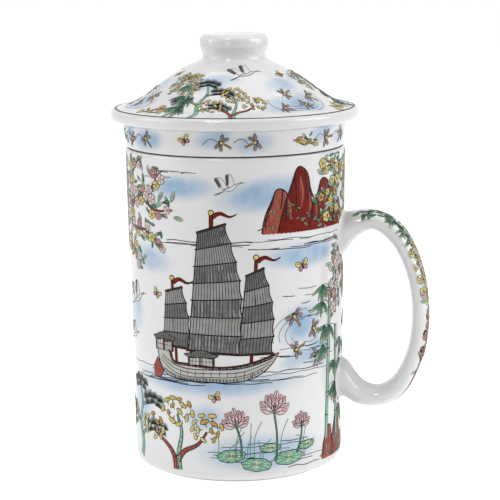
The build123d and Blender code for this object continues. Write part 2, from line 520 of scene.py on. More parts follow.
def enamel(name, light, dark):
    """A ground-glass colour fired onto the glaze: a softer gloss than the glaze round it, which keeps
    dark colours deep, and mottled where it lay thick or thin."""
    material, tree, shader = new_material("enamel_" + name)
    place = node(tree, "ShaderNodeTexCoord").outputs["Object"]
    mottle = node(tree, "ShaderNodeTexNoise", {"Vector": place, "Scale": per_metre(2.4), "Detail": 4.0})
    spread = node(
        tree, "ShaderNodeMapRange", {"Value": mottle.outputs["Fac"], "From Min": 0.32, "From Max": 0.68}
    )
    colour = node(
        tree, "ShaderNodeMix",
        {"Factor": spread.outputs[0], 6: linear(dark), 7: linear(light)}, data_type="RGBA",
    )
    tree.links.new(colour.outputs[2], shader.inputs["Base Color"])
    shader.inputs["Roughness"].default_value = 0.25
    shader.inputs["IOR"].default_value = 1.5
    shader.inputs["Specular IOR Level"].default_value = 0.12
    return material


porcelain = glazed_porcelain()
raw_clay = bisque()
enamels = {
    name: enamel(name, light, dark)
    for name, light, dark in (
        ("ink", "#1F1D1C", "#121110"), ("slate", "#7C7C7A", "#686866"), ("grey", "#ABABA9", "#979795"),
        ("pale_grey", "#D0D0CD", "#BFBFBC"), ("iron_red", "#841A04", "#6C0F01"),
        ("coral", "#B05E4E", "#984638"), ("yellow", "#EEDF98", "#E0CB74"), ("cream", "#EDEBCB", "#E2E0B4"),
        ("ochre", "#DDB75E", "#C79C49"), ("jade", "#9CCDB4", "#84BC9E"), ("green", "#5C9F80", "#45876A"),
        ("pink", "#F0DCDD", "#E4C8CB"), ("rose", "#D99E9E", "#C7888A"), ("mauve", "#C2ADAA", "#A48E8B"),
        ("white", "#EFEFEE", "#E8E8E6"),
    )
}
stamping = stamping_tree()


# --- drawing --------------------------------------------------------------------------------------
class Sheet:
    """Flat artwork in millimetres, x across and y up: points and faces for each enamel. What is
    drawn after a raise lies over what was drawn before it."""

    def __init__(self):
        """An empty sheet at its lowest level."""
        self.art = defaultdict(lambda: ([], []))
        self.level = 0

    def add(self, enamel_name, points, faces, rise=0.0):
        """Adds flat faces at the present level, or points that hold their own heights."""
        kept, corners = self.art[enamel_name]
        start = len(kept)
        height = first_layer + self.level * layer_step + rise
        for point in points:
            kept.append((point[0], point[1], height + (point[2] if len(point) > 2 else 0.0)))
        corners += [[start + corner for corner in face] for face in faces]

    def lay(self, other, x=0.0, y=0.0, turn=0.0, size=1.0, flip=False):
        """Adds another sheet's art, mirrored, sized, turned and moved."""
        for enamel_name, (points, faces) in other.art.items():
            points = np.array(points)
            if flip:
                points[:, 0] *= -1
                faces = [face[::-1] for face in faces]
            flat = points[:, :2] * size @ turned_by(turn) + (x, y)
            kept, corners = self.art[enamel_name]
            start = len(kept)
            lift = self.level * layer_step
            kept += [(a, b, c + lift) for (a, b), c in zip(flat, points[:, 2])]
            corners += [[start + corner for corner in face] for face in faces]


def flat_path(path):
    """A path's x and y alone."""
    return np.asarray(path, float)[:, :2]


def sides(path, width):
    """The two sides of a strip along a path. The width is a number, or a function of the share of
    the way along."""
    path = flat_path(path)
    run = np.gradient(path, axis=0)
    run /= np.maximum(np.hypot(*run.T), 1e-9)[:, None]
    share = np.linspace(0, 1, len(path))
    half = (width(share) if callable(width) else np.full(len(path), width)) / 2
    across = np.stack([-run[:, 1], run[:, 0]], 1) * half[:, None]
    return path + across, path - across


def strip(sheet, enamel_name, left, right, rise=0.0):
    """Faces between two lines of as many points."""
    count = len(left)
    faces = [(i, count + i, count + i + 1, i + 1) for i in range(count - 1)]
    sheet.add(enamel_name, np.concatenate([left, right]), faces, rise)


def line(sheet, path, width, enamel_name="ink"):
    """One pen stroke over the fills of its level."""
    strip(sheet, enamel_name, *sides(divided(flat_path(path), longest_run), width), rise=ink_rise)


def brush(sheet, enamel_name, path, width, edge):
    """A filled stroke with an inked edge on both sides, or with none where the edge is 0."""
    left, right = sides(divided(flat_path(path), longest_run), width)
    strip(sheet, enamel_name, left, right)
    if edge:
        line(sheet, left, edge)
        line(sheet, right, edge)


def patch(sheet, enamel_name, outline, grid=1.2):
    """A filled outline, divided so that it can bend round the body."""
    outline = flat_path(outline)
    low, high = outline.min(0), outline.max(0)
    inner = [
        (x, y)
        for x in np.arange(low[0] + grid / 2, high[0], grid)
        for y in np.arange(low[1] + grid / 2, high[1], grid)
    ]
    spots = [Vector(point) for point in outline.tolist() + inner]
    inside_only, weld = 1, 1e-5
    points, _, faces, *_ = delaunay_2d_cdt(spots, [], [list(range(len(outline)))], inside_only, weld)
    sheet.add(enamel_name, [tuple(point) for point in points], [list(face) for face in faces])


def shape(sheet, enamel_name, outline, edge):
    """A patch with an inked edge all the way round."""
    patch(sheet, enamel_name, outline)
    line(sheet, np.concatenate([outline, outline[:2]]), edge)


def oval(x, y, width, height, count, turn=0.0):
    """So many points of an ellipse."""
    angles = np.linspace(0, 2 * math.pi, count, endpoint=False)
    flat = np.stack([np.cos(angles) * width / 2, np.sin(angles) * height / 2], 1)
    return flat @ turned_by(turn) + (x, y)


def stamp(sheet, motif, anchors, seed, size_spread=0.12, turn_spread=0.15):
    """Repeats a small sheet at anchors, each (x, y, turn, size)."""
    if not anchors:
        return
    anchors = np.asarray(anchors, float)
    spots = bpy.data.meshes.new("anchors")
    spots.from_pydata([(x, y, 0.0) for x, y in anchors[:, :2]], [], [])
    for name, values in (("turn", anchors[:, 2]), ("size", anchors[:, 3])):
        spots.attributes.new(name, "FLOAT", "POINT").data.foreach_set("value", values.astype(np.float32))
    holder = put_in_scene("anchors", spots)
    for enamel_name, (points, faces) in motif.art.items():
        flat = bpy.data.meshes.new("stamp")
        flat.from_pydata(points, [], faces)
        mesh = grown(
            holder, stamping,
            {"Stamp": put_in_scene("stamp", flat), "Size spread": size_spread,
             "Turn spread": turn_spread, "Seed": seed, "Enamel": enamels[enamel_name]},
        )
        found = mesh_points(mesh) - (0, 0, first_layer)
        sheet.add(enamel_name, found.tolist(), [list(face.vertices) for face in mesh.polygons])
        for scrap in (mesh, flat):
            bpy.data.meshes.remove(scrap)
    bpy.data.meshes.remove(spots)


# --- small motifs that are stamped ----------------------------------------------------------------
def swell(width, sharp=0.7):
    """A petal's or leaf's width: none at its ends, full in the middle."""
    return lambda share: width * np.sin(math.pi * np.clip(share, 0.03, 0.97)) ** sharp


def leaf_stamp(length, width, enamel_name, bend=0.15):
    """A pointed leaf standing on its stalk: a deep heart in a pale edge, and a midrib."""
    sheet = Sheet()
    path = spline([(0, 0), (bend * length * 0.3, length * 0.5), (bend * length, length)], length / 5)
    brush(sheet, "cream", path, swell(width), 0.16)
    strip(sheet, enamel_name, *sides(path[:-1], swell(0.8 * width)), rise=core_rise)
    line(sheet, path[:-2:2], 0.12)
    return sheet


def blossom_stamp(radius, petal, heart):
    """A round five-petalled blossom seen from the front."""
    sheet = Sheet()
    angles = np.linspace(0, 2 * math.pi, 25, endpoint=False)
    edge = radius * (0.78 + 0.22 * np.abs(np.sin(2.5 * angles)) ** 0.7)
    outline = np.stack([edge * np.cos(angles), edge * np.sin(angles)], 1)
    shape(sheet, petal, outline, 0.18)
    for turn in np.arange(5) * 2 * math.pi / 5:
        line(sheet, [(r * radius * math.cos(turn), r * radius * math.sin(turn)) for r in (0.3, 0.8)], 0.15)
    sheet.level += 1
    shape(sheet, heart, oval(0, 0, 0.55 * radius, 0.55 * radius, 6), 0.13)
    return sheet


def bud_stamp(size, enamel_name):
    """A closed bud on a short stalk."""
    sheet = Sheet()
    line(sheet, [(0, 0), (0, size)], 0.18)
    shape(sheet, enamel_name, oval(0, 1.45 * size, 0.85 * size, 1.1 * size, 7), 0.17)
    return sheet


def ginkgo_stamp(reach, enamel_name):
    """A fan-shaped leaf on its stalk, with a notch in its edge."""
    sheet = Sheet()
    turns = np.linspace(-1.15, 1.15, 9)
    edge = reach * (0.97 - 0.17 * (np.abs(turns) < 0.1) - 0.1 * (np.abs(turns) > 1.1))
    fan = [(0.0, 0.0)] + list(zip(edge * np.sin(turns), edge * np.cos(turns)))
    shape(sheet, enamel_name, fan, 0.2)
    for turn in (-0.45, 0.45):
        line(sheet, [(r * reach * math.sin(turn), r * reach * math.cos(turn)) for r in (0.15, 0.6)], 0.13)
    line(sheet, [(0, -0.5 * reach), (0, 0.1 * reach)], 0.18)
    return sheet


def needle_stamp(length):
    """A round fan of dark pine needles over a green pad."""
    sheet = Sheet()
    pad = [(0.6 * length * math.sin(a), 0.55 * length * math.cos(a)) for a in np.linspace(-1.5, 1.5, 8)]
    patch(sheet, "green", pad, 3)
    for turn in np.linspace(-1.62, 1.62, 13):
        reach = length * (0.9 + 0.1 * math.cos(2 * turn))
        line(sheet, [(r * reach * math.sin(turn), r * reach * math.cos(turn)) for r in (0.06, 1)], 0.24)
    return sheet


def moss_stamp():
    """A tuft of three round leaves."""
    sheet = Sheet()
    for x, y in ((-0.6, 0), (0.6, 0.05), (0, 0.6)):
        shape(sheet, "jade", oval(x, y, 1.0, 0.75, 7), 0.16)
    return sheet


def dragonfly_stamp():
    """A dragonfly that flies up the page: four veined wings, a striped body and a long tail."""
    sheet = Sheet()
    for side in (-1, 1):
        for tip in ((4.4, 2.4), (3.9, -1.3)):
            wing = [(0.2 * side, 0.9), (0.55 * side * tip[0], 0.5 * tip[1] + 0.8), (side * tip[0], tip[1])]
            wing = spline(wing, 0.9)
            brush(sheet, "mauve", wing, lambda share: 1.7 * np.sin(0.3 + 2.3 * share) ** 0.8, 0.22)
            for shift in (-0.25, 0.3):
                line(sheet, wing[:-1] + (0, shift), 0.16)
    sheet.level += 1
    brush(sheet, "ochre", spline([(0, 0), (0.15, -2.6), (0, -5.0)], 0.9), 0.9, 0.24)
    for y in (-1.3, -2.5, -3.7):
        line(sheet, [(-0.4, y), (0.6, y)], 0.32)
    brush(sheet, "yellow", [(0, -0.3), (0, 0.8), (0, 1.9)], swell(1.7, 0.5), 0.26)
    patch(sheet, "ink", oval(0, 2.2, 1.5, 1.0, 8))
    return sheet


def butterfly_stamp(fore, hind):
    """A butterfly with spread wings."""
    sheet = Sheet()
    for side in (-1, 1):
        wing = [(0.1, 0.1), (0.9, 1.6), (2.3, 2.2), (2.7, 1.3), (1.6, 0.2)]
        shape(sheet, fore, spline([(side * x, y) for x, y in wing], 0.5), 0.22)
        tail = [(0.1, 0.0), (1.6, 0.1), (1.9, -0.9), (1.1, -1.6), (0.4, -0.8)]
        shape(sheet, hind, spline([(side * x, y) for x, y in tail], 0.5), 0.22)
        line(sheet, [(0, 0.9), (side * 0.4, 1.7), (side * 0.9, 2.1)], 0.14)
        line(sheet, [(side * 0.3, 0.4), (side * 1.2, 1.2), (side * 2.0, 1.6)], 0.16)
    line(sheet, [(0, -1.1), (0, 0), (0, 1.0)], 0.5)
    return sheet


def crane_stamp():
    """A crane in flight to the right, with one wing up and black feather tips."""
    sheet = Sheet()
    for tip, root in (((-4.6, 7.4), (-2.0, 0.6)), ((1.6, 8.2), (1.2, 0.8))):
        away, near = np.array(tip), np.array(root)
        shape(sheet, "white", spline([near + (-1.6, 0), away * 0.6 + near * 0.4 + (-1.3, 0.2), away,
                                      away * 0.5 + near * 0.5 + (1.4, 0.2), near + (1.4, 0)], 0.7), 0.2)
        for share in np.linspace(0.35, 1.0, 7):
            edge = near + (away - near) * share
            brush(sheet, "slate", [edge + (-0.9, 0.2), edge + (-1.9, -0.3), edge + (-2.7, -1.2)],
                  swell(0.75, 0.5), 0.16)
        sheet.level += 1
    neck = spline([(-4.4, -0.5), (-1.5, -0.2), (1.8, 0.5), (4.4, 1.9), (6.4, 2.3)], 0.6)
    brush(sheet, "white", neck, lambda share: 0.35 + 1.7 * np.sin(math.pi * (1 - share)) ** 1.5, 0.22)
    line(sheet, spline([(6.2, 2.3), (7.2, 2.3), (8.4, 2.1)], 0.5), 0.28)
    patch(sheet, "iron_red", oval(6.4, 2.6, 0.9, 0.55, 8))
    for drop in (0.0, 0.5):
        line(sheet, spline([(-4.0, -0.6), (-6.5, -1.1 - drop), (-8.8, -1.3 - drop)], 0.6), 0.24)
    return sheet


# --- large motifs ---------------------------------------------------------------------------------
def sail(sheet, foot, head, bulge, panels, ribs):
    """A battened sail between two spars, each given from luff to leech."""
    foot, head = np.array(foot, float), np.array(head, float)

    def at(across, up):
        """The place at a share of the way across the sail and up it."""
        low = foot[0] + (foot[1] - foot[0]) * across
        high = head[0] + (head[1] - head[0]) * across
        belly = bulge * across * math.sin(math.pi * up)
        scallop = 0.55 * across**6 * abs(math.sin(math.pi * panels * up))
        return low + (high - low) * up + (belly - scallop, 0)

    ups = np.linspace(0, 1, 6 * panels + 1)
    acrosses = np.linspace(0, 1, 12)
    outline = [at(s, 0) for s in acrosses] + [at(1, t) for t in ups[1:]]
    outline += [at(s, 1) for s in acrosses[-2::-1]] + [at(0, t) for t in ups[-2:0:-1]]
    shape(sheet, "grey", outline, 0.4)
    for panel in range(0, panels, 2):
        rows = np.linspace(panel / panels, (panel + 1) / panels, 3)
        for low, high in zip(rows, rows[1:]):
            strip(sheet, "slate", [at(s, high) for s in acrosses], [at(s, low) for s in acrosses],
                  core_rise)
    for across in np.linspace(0, 1, ribs + 2)[1:-1]:
        line(sheet, [at(across, t) for t in ups], 0.2)
    for panel in range(1, panels):
        line(sheet, [at(s, panel / panels) for s in np.linspace(-0.05, 1.03, 12)], 0.42)
    for end in (0, 1):
        brush(sheet, "iron_red", [at(s, end) for s in np.linspace(-0.06, 1.05, 12)], 0.75, 0.2)


def mast(sheet, foot, top, width):
    """A red mast with a gilt ball and a streamer at its top."""
    brush(sheet, "iron_red", spline([foot, top], 2), width, 0.25)
    x, y = top
    shape(sheet, "yellow", oval(x, y + 0.9, 1.9, 1.9, 12), 0.3)
    streamer = spline([(x + 0.4, y - 0.6), (x + 3.2, y + 0.7), (x + 6.0, y - 0.4), (x + 8.6, y + 0.5)], 0.6)
    brush(sheet, "iron_red", streamer, lambda share: 1.5 * (1 - share) + 0.15, 0.2)


def deckhouse(sheet, x, y, wide, tall):
    """A low cabin of barred windows between red posts, under a roof with raised eaves."""
    shape(sheet, "pale_grey", [(x - wide / 2, y), (x + wide / 2, y - 0.4), (x + wide / 2, y + tall),
                               (x - wide / 2, y + tall)], 0.25)
    for step in np.linspace(-0.5, 0.5, 8)[1:-1]:
        line(sheet, [(x + step * wide, y), (x + step * wide, y + tall)], 0.16)
    line(sheet, [(x - wide / 2, y + tall / 2), (x + wide / 2, y + tall / 2)], 0.16)
    for step in (-0.5, -0.02, 0.5):
        brush(sheet, "iron_red", [(x + step * wide, y - 0.3), (x + step * wide, y + tall)], 0.7, 0.18)
    top = y + tall
    eaves = spline([(x - 0.72 * wide, top + 0.9), (x - 0.5 * wide, top - 0.1), (x, top + 0.1),
                    (x + 0.5 * wide, top - 0.1), (x + 0.72 * wide, top + 0.9)], 0.6)
    ridge = spline([(x + 0.5 * wide, top + 1.3), (x, top + 2.6), (x - 0.5 * wide, top + 1.3)], 0.6)
    shape(sheet, "slate", np.concatenate([eaves, ridge]), 0.3)
    for step in np.linspace(-0.42, 0.42, 9):
        line(sheet, [(x + step * wide, top + 0.1), (x + 0.86 * step * wide, top + 1.9)], 0.2)


def junk():
    """A three-masted river boat with battened sails, on its waterline."""
    sheet = Sheet()
    mast(sheet, (-12.5, 4), (-13.6, 34.5), 0.9)
    mast(sheet, (0.5, 4), (1.6, 58), 1.3)
    mast(sheet, (14.5, 4), (16.6, 42.5), 1.0)
    sheet.level += 1
    sail(sheet, ((-18.2, 11.5), (-7.6, 11)), ((-16.4, 30.5), (-9.6, 32.5)), 1.5, 4, 8)
    sail(sheet, ((10.2, 9.5), (22, 9.5)), ((13.2, 37), (19.2, 39.5)), 2.0, 5, 9)
    sheet.level += 1
    sail(sheet, ((-7.6, 10.5), (10.6, 9.5)), ((-3.2, 52), (6.2, 55)), 3.0, 7, 15)

    hull = spline([(-21.5, 11.4), (-20.6, 6.2), (-17.8, 1.6), (-12, 0), (0, -0.4), (11, 0), (17.5, 2.2),
                   (21.6, 5.4), (24.6, 9.6)], 0.8)
    deck = spline([(24.6, 9.6), (20.5, 8.0), (13, 5.8), (0, 4.8), (-9.5, 5.4), (-14.5, 6.6), (-15.2, 9.2),
                   (-21.5, 11.4)], 0.8)
    shape(sheet, "pale_grey", np.concatenate([hull[:-1], deck[:-1]]), 0.4)
    for lift, width in ((1.5, 0.26), (2.9, 0.26), (4.2, 0.34)):
        line(sheet, spline([(-20.2 + 0.3 * lift, 5.2 + 0.6 * lift), (-14, 0.9 + lift), (0, -0.2 + lift),
                            (12, 0.6 + lift), (20.4 + 0.5 * lift, 4.6 + 0.8 * lift)], 0.8), width)
    brush(sheet, "slate", spline([(-19, 3.2), (-13, 0.8), (0, 0.2), (12, 0.9), (19, 4.0)], 0.8),
          lambda share: 1.5 * np.sin(math.pi * np.clip(share, 0.05, 0.95)) ** 0.4, 0)
    brush(sheet, "iron_red", deck[::-1][2:-2], 0.9, 0.2)
    for x in np.linspace(-11, 15, 10):
        line(sheet, [(x, 1.2), (x + 0.1, 3.4)], 0.2)
    rudder = [(-21.4, 6.5), (-23.6, 3.2), (-23.2, -0.6), (-20.2, -0.8), (-18.6, 1.6)]
    shape(sheet, "coral", rudder, 0.3)
    sheet.level += 1

    deckhouse(sheet, -18.0, 9.6, 7.6, 3.6)
    deckhouse(sheet, -3.0, 5.4, 9.0, 2.8)
    return sheet


def crag(width, height, chance, enamel_name):
    """A steep peak on a level foot, with ink folds running down from its ridge."""
    sheet = Sheet()
    ridge = [(-0.5 * width, 0), (-0.4 * width, 0.42 * height), (-0.2 * width, 0.8 * height),
             (-0.04 * width, height), (0.12 * width, 0.94 * height), (0.24 * width, 0.66 * height),
             (0.42 * width, 0.38 * height), (0.5 * width, 0)]
    rough = [(x + chance.uniform(-0.03, 0.03) * width, y + chance.uniform(-0.03, 0.03) * height * (y > 0))
             for x, y in ridge]
    top = spline(rough, 0.9)
    foot = [(x, -0.5 * abs(math.sin(1.9 * x))) for x in np.arange(0.5 * width - 0.8, -0.5 * width, -0.8)]
    patch(sheet, enamel_name, np.concatenate([top, foot]))
    line(sheet, top, 0.42)
    for share in (0.3, 0.52, 0.68):
        x, y = top[int(share * (len(top) - 1))]
        light = spline([(x - 0.03 * width, 0.86 * y), (x + 0.02 * width, 0.6 * y), (0.9 * x, 0.34 * y)], 0.9)
        strip(sheet, "coral", *sides(light, swell(0.09 * width)), rise=core_rise)
    count = max(5, int(width / 1.6))
    for share in np.linspace(0.08, 0.92, count):
        x, y = top[int(share * (len(top) - 1))]
        drop = y * chance.uniform(0.35, 0.85)
        drift = chance.uniform(-0.12, 0.12) * width + 0.12 * x
        fold = spline([(x, y), (x + 0.35 * drift, y - 0.5 * drop), (x + drift, y - drop)], 0.7)
        line(sheet, fold, chance.uniform(0.25, 0.5))
    return sheet


def crags(sizes, seed):
    """Peaks side by side, the far ones first. Each size is (x, width, height, colour)."""
    sheet = Sheet()
    chance = random.Random(seed)
    for x, width, height, enamel_name in sizes:
        sheet.lay(crag(width, height, chance, enamel_name), x)
        moss = [
            (x + width * chance.uniform(-0.32, 0.3), height * chance.uniform(0.08, 0.5),
             chance.uniform(-1, 1), chance.uniform(0.6, 1.1))
            for _ in range(int(width / 1.5))
        ]
        stamp(sheet, moss_tuft, moss, seed)
        sheet.level += 1
    return sheet


def waves(sheet, x, y, width, height, count, seed):
    """Loose groups of flat ripples."""
    chance = random.Random(seed)
    for _ in range(count):
        left = x + chance.uniform(-0.5, 0.25) * width
        level = y + chance.uniform(-0.5, 0.5) * height
        run = chance.uniform(0.14, 0.42) * width
        points = [(left + run * share, level + chance.uniform(-0.28, 0.28))
                  for share in np.linspace(0, 1, max(3, int(run / 3)))]
        line(sheet, spline(points, 0.8), chance.uniform(0.18, 0.3))


def whirl(sheet, x, y, size, seed):
    """A few long thin arcs of wind round a point."""
    chance = random.Random(seed)
    for step in range(5):
        start, sweep = chance.uniform(0, 6.28), chance.uniform(1.4, 2.8)
        reach = size * (0.35 + 0.16 * step)
        angles = start + np.linspace(0, sweep, max(8, int(reach * sweep)))
        line(sheet, [(x + reach * math.cos(a), y + 0.6 * reach * math.sin(a)) for a in angles], 0.17)


def branch(sheet, points, width, enamel_name="coral"):
    """A knotty stem that thins to its tip. It gives back its path."""
    path = spline(points, 0.9)
    brush(sheet, enamel_name, path, lambda share: width * (1 - 0.8 * share) + 0.12, 0.26)
    for share in np.arange(0.08, 0.7, 0.11):
        x, y = path[int(share * (len(path) - 1))]
        line(sheet, [(x - 0.25 * width, y), (x + 0.05, y + 0.15), (x + 0.25 * width, y - 0.1)], 0.18)
    return path


def scattered(spots, gap):
    """The spots that lie no nearer than a gap to one kept before them."""
    kept = []
    for spot in spots:
        if all(math.dist(spot, other) > gap for other in kept):
            kept.append(spot)
    return kept


def cloud(x, y, width, height, gap, chance):
    """Spots spread over an oval."""
    tries = int(14 * width * height / gap**2)
    reaches = [math.sqrt(chance.random()) / 2 for _ in range(tries)]
    turns = [chance.uniform(0, 2 * math.pi) for _ in range(tries)]
    return scattered([(x + width * r * math.cos(t), y + height * r * math.sin(t))
                      for r, t in zip(reaches, turns)], gap)


def beside(path, reach, gap, chance, start=0.2):
    """Spots on both sides of a path."""
    later = [tuple(point[:2]) for point in path[int(start * len(path)):]]
    return scattered([(x + chance.uniform(-reach, reach), y + chance.uniform(-0.8, 1) * reach)
                      for x, y in later * 6], gap)


def blossoming_branch(stem, twigs, width, flowers, seed, reach=2.6):
    """A branch with side twigs, leaves, buds and open blossoms. flowers are stamps to share out."""
    sheet = Sheet()
    chance = random.Random(seed)
    paths = [branch(sheet, stem, width)] + [branch(sheet, twig, 0.5 * width) for twig in twigs]
    leaves = scattered([spot for path in paths for spot in beside(path, 1.3 * reach, 1.7, chance)], 1.9)
    for kind, leaf in enumerate((leaf_small, leaf_dark)):
        anchors = [(x, y, chance.uniform(-2.4, 2.4), chance.uniform(0.8, 1.1)) for x, y in leaves[kind::2]]
        stamp(sheet, leaf, anchors, seed + kind)
    sheet.level += 1
    heads = scattered([spot for path in paths for spot in beside(path, reach, 2.2, chance, 0.12)], 3.0)
    for kind, flower in enumerate(flowers):
        anchors = [
            (x, y, chance.uniform(0, 6.3), chance.uniform(0.75, 1.1)) for x, y in heads[kind::len(flowers)]
        ]
        stamp(sheet, flower, anchors, seed + kind)
    tips = [(path[-1][0], path[-1][1], math.atan2(*(path[-1] - path[-3])[::-1]) - math.pi / 2, 1.2)
            for path in paths]
    sheet.level += 1
    stamp(sheet, pink_bud, tips, seed)
    return sheet


def bamboo(height, lean, seed, leaf_groups=6):
    """A jointed cane with drooping groups of leaves."""
    sheet = Sheet()
    chance = random.Random(seed)
    joint, y, x, leaves = 8.5, 0.0, 0.0, []
    while y < height:
        top_x, top_y = x + lean * joint, y + joint
        path = spline([(x, y), (0.5 * (x + top_x), 0.5 * (y + top_y)), (top_x, top_y)], 0.9)
        brush(sheet, "jade", path, lambda share: 1.5 + 0.35 * (2 * share - 1) ** 6, 0.24)
        line(sheet, [(top_x - 1.0, top_y), (top_x, top_y - 0.12), (top_x + 1.0, top_y)], 0.36)
        x, y = top_x, top_y
        joint *= 0.97
        if y > 0.2 * height:
            side = chance.choice((-1, 1))
            tip = (x + side * chance.uniform(3.0, 6.0), y + chance.uniform(0.5, 3.0))
            line(sheet, spline([(x, y), (x + 0.5 * (tip[0] - x), tip[1]), tip], 0.7), 0.28, "green")
            leaves.append(tip)
    while len(leaves) < leaf_groups:
        leaves.append((x + chance.uniform(-5, 5), height * chance.uniform(0.4, 1.0)))
    anchors = [(px, py, math.pi + turn + chance.uniform(-0.15, 0.15), chance.uniform(0.8, 1.1))
               for px, py in leaves for turn in (-0.85, -0.4, 0.0, 0.45, 0.9)]
    sheet.level += 1
    stamp(sheet, bamboo_leaf, anchors, seed)
    return sheet


def pine(stem, limbs, width, seed):
    """A pine with a green trunk, whose limbs hold flat clouds of needle fans."""
    sheet = Sheet()
    chance = random.Random(seed)
    paths = [branch(sheet, stem, width, "jade")]
    paths += [branch(sheet, limb, 0.5 * width, "jade") for limb in limbs]
    sheet.level += 1
    for path in paths:
        x, y = path[-1][:2]
        for fans, lift, half in ((4, 1.2, 4.6), (3, -0.9, 3.4)):
            anchors = [
                (x + half * share, y + lift + 0.9 * (1 - share**2), -0.25 * share, chance.uniform(0.9, 1.1))
                for share in np.linspace(-1, 1, fans)
            ]
            stamp(sheet, needles, anchors, seed)
    return sheet


def ginkgo_tree(stems, seed):
    """A small tree that forks from one foot. Each stem, (path, colour), ends in a cloud of leaves whose
    fans open outwards."""
    sheet = Sheet()
    chance = random.Random(seed)
    stem_width, cloud_width, cloud_height, leaf_gap = 1.9, 11.5, 8.0, 2.1
    paths = [branch(sheet, stem, stem_width, wood) for stem, wood in stems]
    sheet.level += 1
    kept = []
    for path in paths:
        x, y = path[-1][0], path[-1][1] + 0.15 * cloud_height
        for spot in cloud(x, y, cloud_width, cloud_height, leaf_gap, chance):
            if all(math.dist(spot, other[:2]) > leaf_gap for other in kept):
                out = math.atan2(x - spot[0], spot[1] - y + 1.5)
                kept.append((*spot, out + chance.uniform(-0.4, 0.4), chance.uniform(0.88, 1.1)))
    for kind, leaf in enumerate((ginkgo_pale, ginkgo_dark, ginkgo_pale)):
        stamp(sheet, leaf, kept[kind::3], seed + kind)
    return sheet


def lotus_flower(size):
    """An open lotus from the side: back petals first, then the cupped front ones."""
    sheet = Sheet()
    rounds = (((-0.55, 6.6), (0.0, 7.4), (0.55, 6.6)), ((-1.05, 6.2), (1.05, 6.2), (-0.3, 6.4), (0.3, 6.4)),
              ((-1.4, 5.0), (1.4, 5.0), (-0.75, 4.6), (0.75, 4.6), (0.0, 4.8)))
    for petals in rounds:
        for turn, reach in petals:
            tip = (reach * size * math.sin(turn), reach * size * math.cos(turn))
            bow = (0.66 * tip[0], 0.5 * tip[1])
            path = spline([(0, 0), bow, tip], 0.6)
            brush(sheet, "pink", path, swell(2.5 * size, 0.75), 0.22)
            tip = path[int(0.62 * len(path)):]
            brush(sheet, "rose", tip, lambda share: 0.9 * size * (1 - share) + 0.1, 0)
            line(sheet, path[1:-1], 0.14)
        sheet.level += 1
    return sheet


def lotus_pad(width, height, turn):
    """A floating leaf with a waved edge and veins from its heart."""
    sheet = Sheet()
    count, bays = 30, 7
    outline = oval(0, 0, width, height, count, turn)
    wave = 1 + 0.05 * np.sin(np.linspace(0, 2 * math.pi * bays, count, endpoint=False))
    outline = outline * wave[:, None]
    shape(sheet, "jade", outline, 0.3)
    for corner in outline[::3]:
        line(sheet, [corner * share for share in (0.1, 0.5, 0.9)], 0.18)
    ring = np.concatenate([outline[::3], outline[:1]])
    strip(sheet, "cream", 0.15 * ring, 0.6 * ring, core_rise)
    return sheet


def lotus_pond(seed):
    """Lotus pads, flowers on their stalks and reeds over ripples."""
    sheet = Sheet()
    chance = random.Random(seed)
    waves(sheet, 0, 1, 46, 11, 16, seed)
    sheet.level += 1
    for x, y, wide, tall, turn in (
        (-13, 1.5, 11, 5, 0.1), (-3, -2.2, 12, 5.2, -0.08), (10.5, -0.5, 12.5, 5.6, 0.05),
        (19, 3.4, 8, 3.4, 0.1), (2.5, 4.2, 8.5, 3.6, 0.0),
    ):
        sheet.lay(lotus_pad(wide, tall, turn), x, y)
    sheet.level += 1
    for foot, top, size in (
        ((-9, 1), (-11, 13.5), 1.0), ((5, -1), (4.0, 18.5), 1.15), ((14, 1), (16.5, 11.5), 0.8),
    ):
        bow = (0.5 * (foot[0] + top[0]) + 0.8, 0.5 * (foot[1] + top[1]))
        brush(sheet, "green", spline([foot, bow, top], 0.9), 0.6, 0.2)
        sheet.lay(lotus_flower(size), top[0], top[1], chance.uniform(-0.15, 0.15))
    for _ in range(12):
        x = chance.uniform(-20, 20)
        tip = (x + chance.uniform(-4, 4), chance.uniform(7, 15))
        line(sheet, spline([(x, chance.uniform(-2, 2)), (x + 0.2, 0.6 * tip[1]), tip], 0.9), 0.26, "green")
    return sheet


def bridge():
    """A humped stone bridge with a parapet and one arch."""
    sheet = Sheet()
    half, hump, foot = 24, 9.5, -1.5
    arch_half, arch_height = 8.5, 6.6

    def arch_at(across, rise):
        """The other leg of a quarter ellipse at a share of one of its legs."""
        return across * math.sqrt(max(0.0, 1 - rise**2))

    deck = [(x, hump * math.cos(x / half * math.pi / 2) ** 1.3) for x in np.linspace(-half, half, 40)]
    arch = [(x, arch_at(arch_height, x / arch_half)) for x in np.linspace(arch_half, -arch_half, 24)]
    outline = deck + [(half, foot), (arch_half, foot)] + arch + [(-arch_half, foot), (-half, foot)]
    shape(sheet, "grey", outline, 0.4)
    rail = [(x, y + 3.0) for x, y in deck[2:-2]]
    for x, y in deck[2:-2:2]:
        brush(sheet, "pale_grey", [(x, y), (x, y + 3.6)], 0.7, 0.2)
    brush(sheet, "pale_grey", rail, 0.8, 0.24)
    line(sheet, [(x, y + 1.5) for x, y in deck[2:-2]], 0.24)
    line(sheet, [(x, y - 1.4) for x, y in deck[1:-1]], 0.3)
    for level in (0.2, 2.4, 4.6):
        for side in (-1, 1):
            reach = [x for x, y in deck if y - 1.4 > level and x > 0]
            near = arch_at(arch_half, level / arch_height) + 0.6
            if reach:
                line(sheet, [(side * near, level), (side * 0.5 * (near + max(reach)), level),
                             (side * max(reach), level)], 0.2)
                for x in np.arange(near + 1.5, max(reach), 3.2):
                    line(sheet, [(side * x, level), (side * x, level + 2.0)], 0.18)
    return sheet


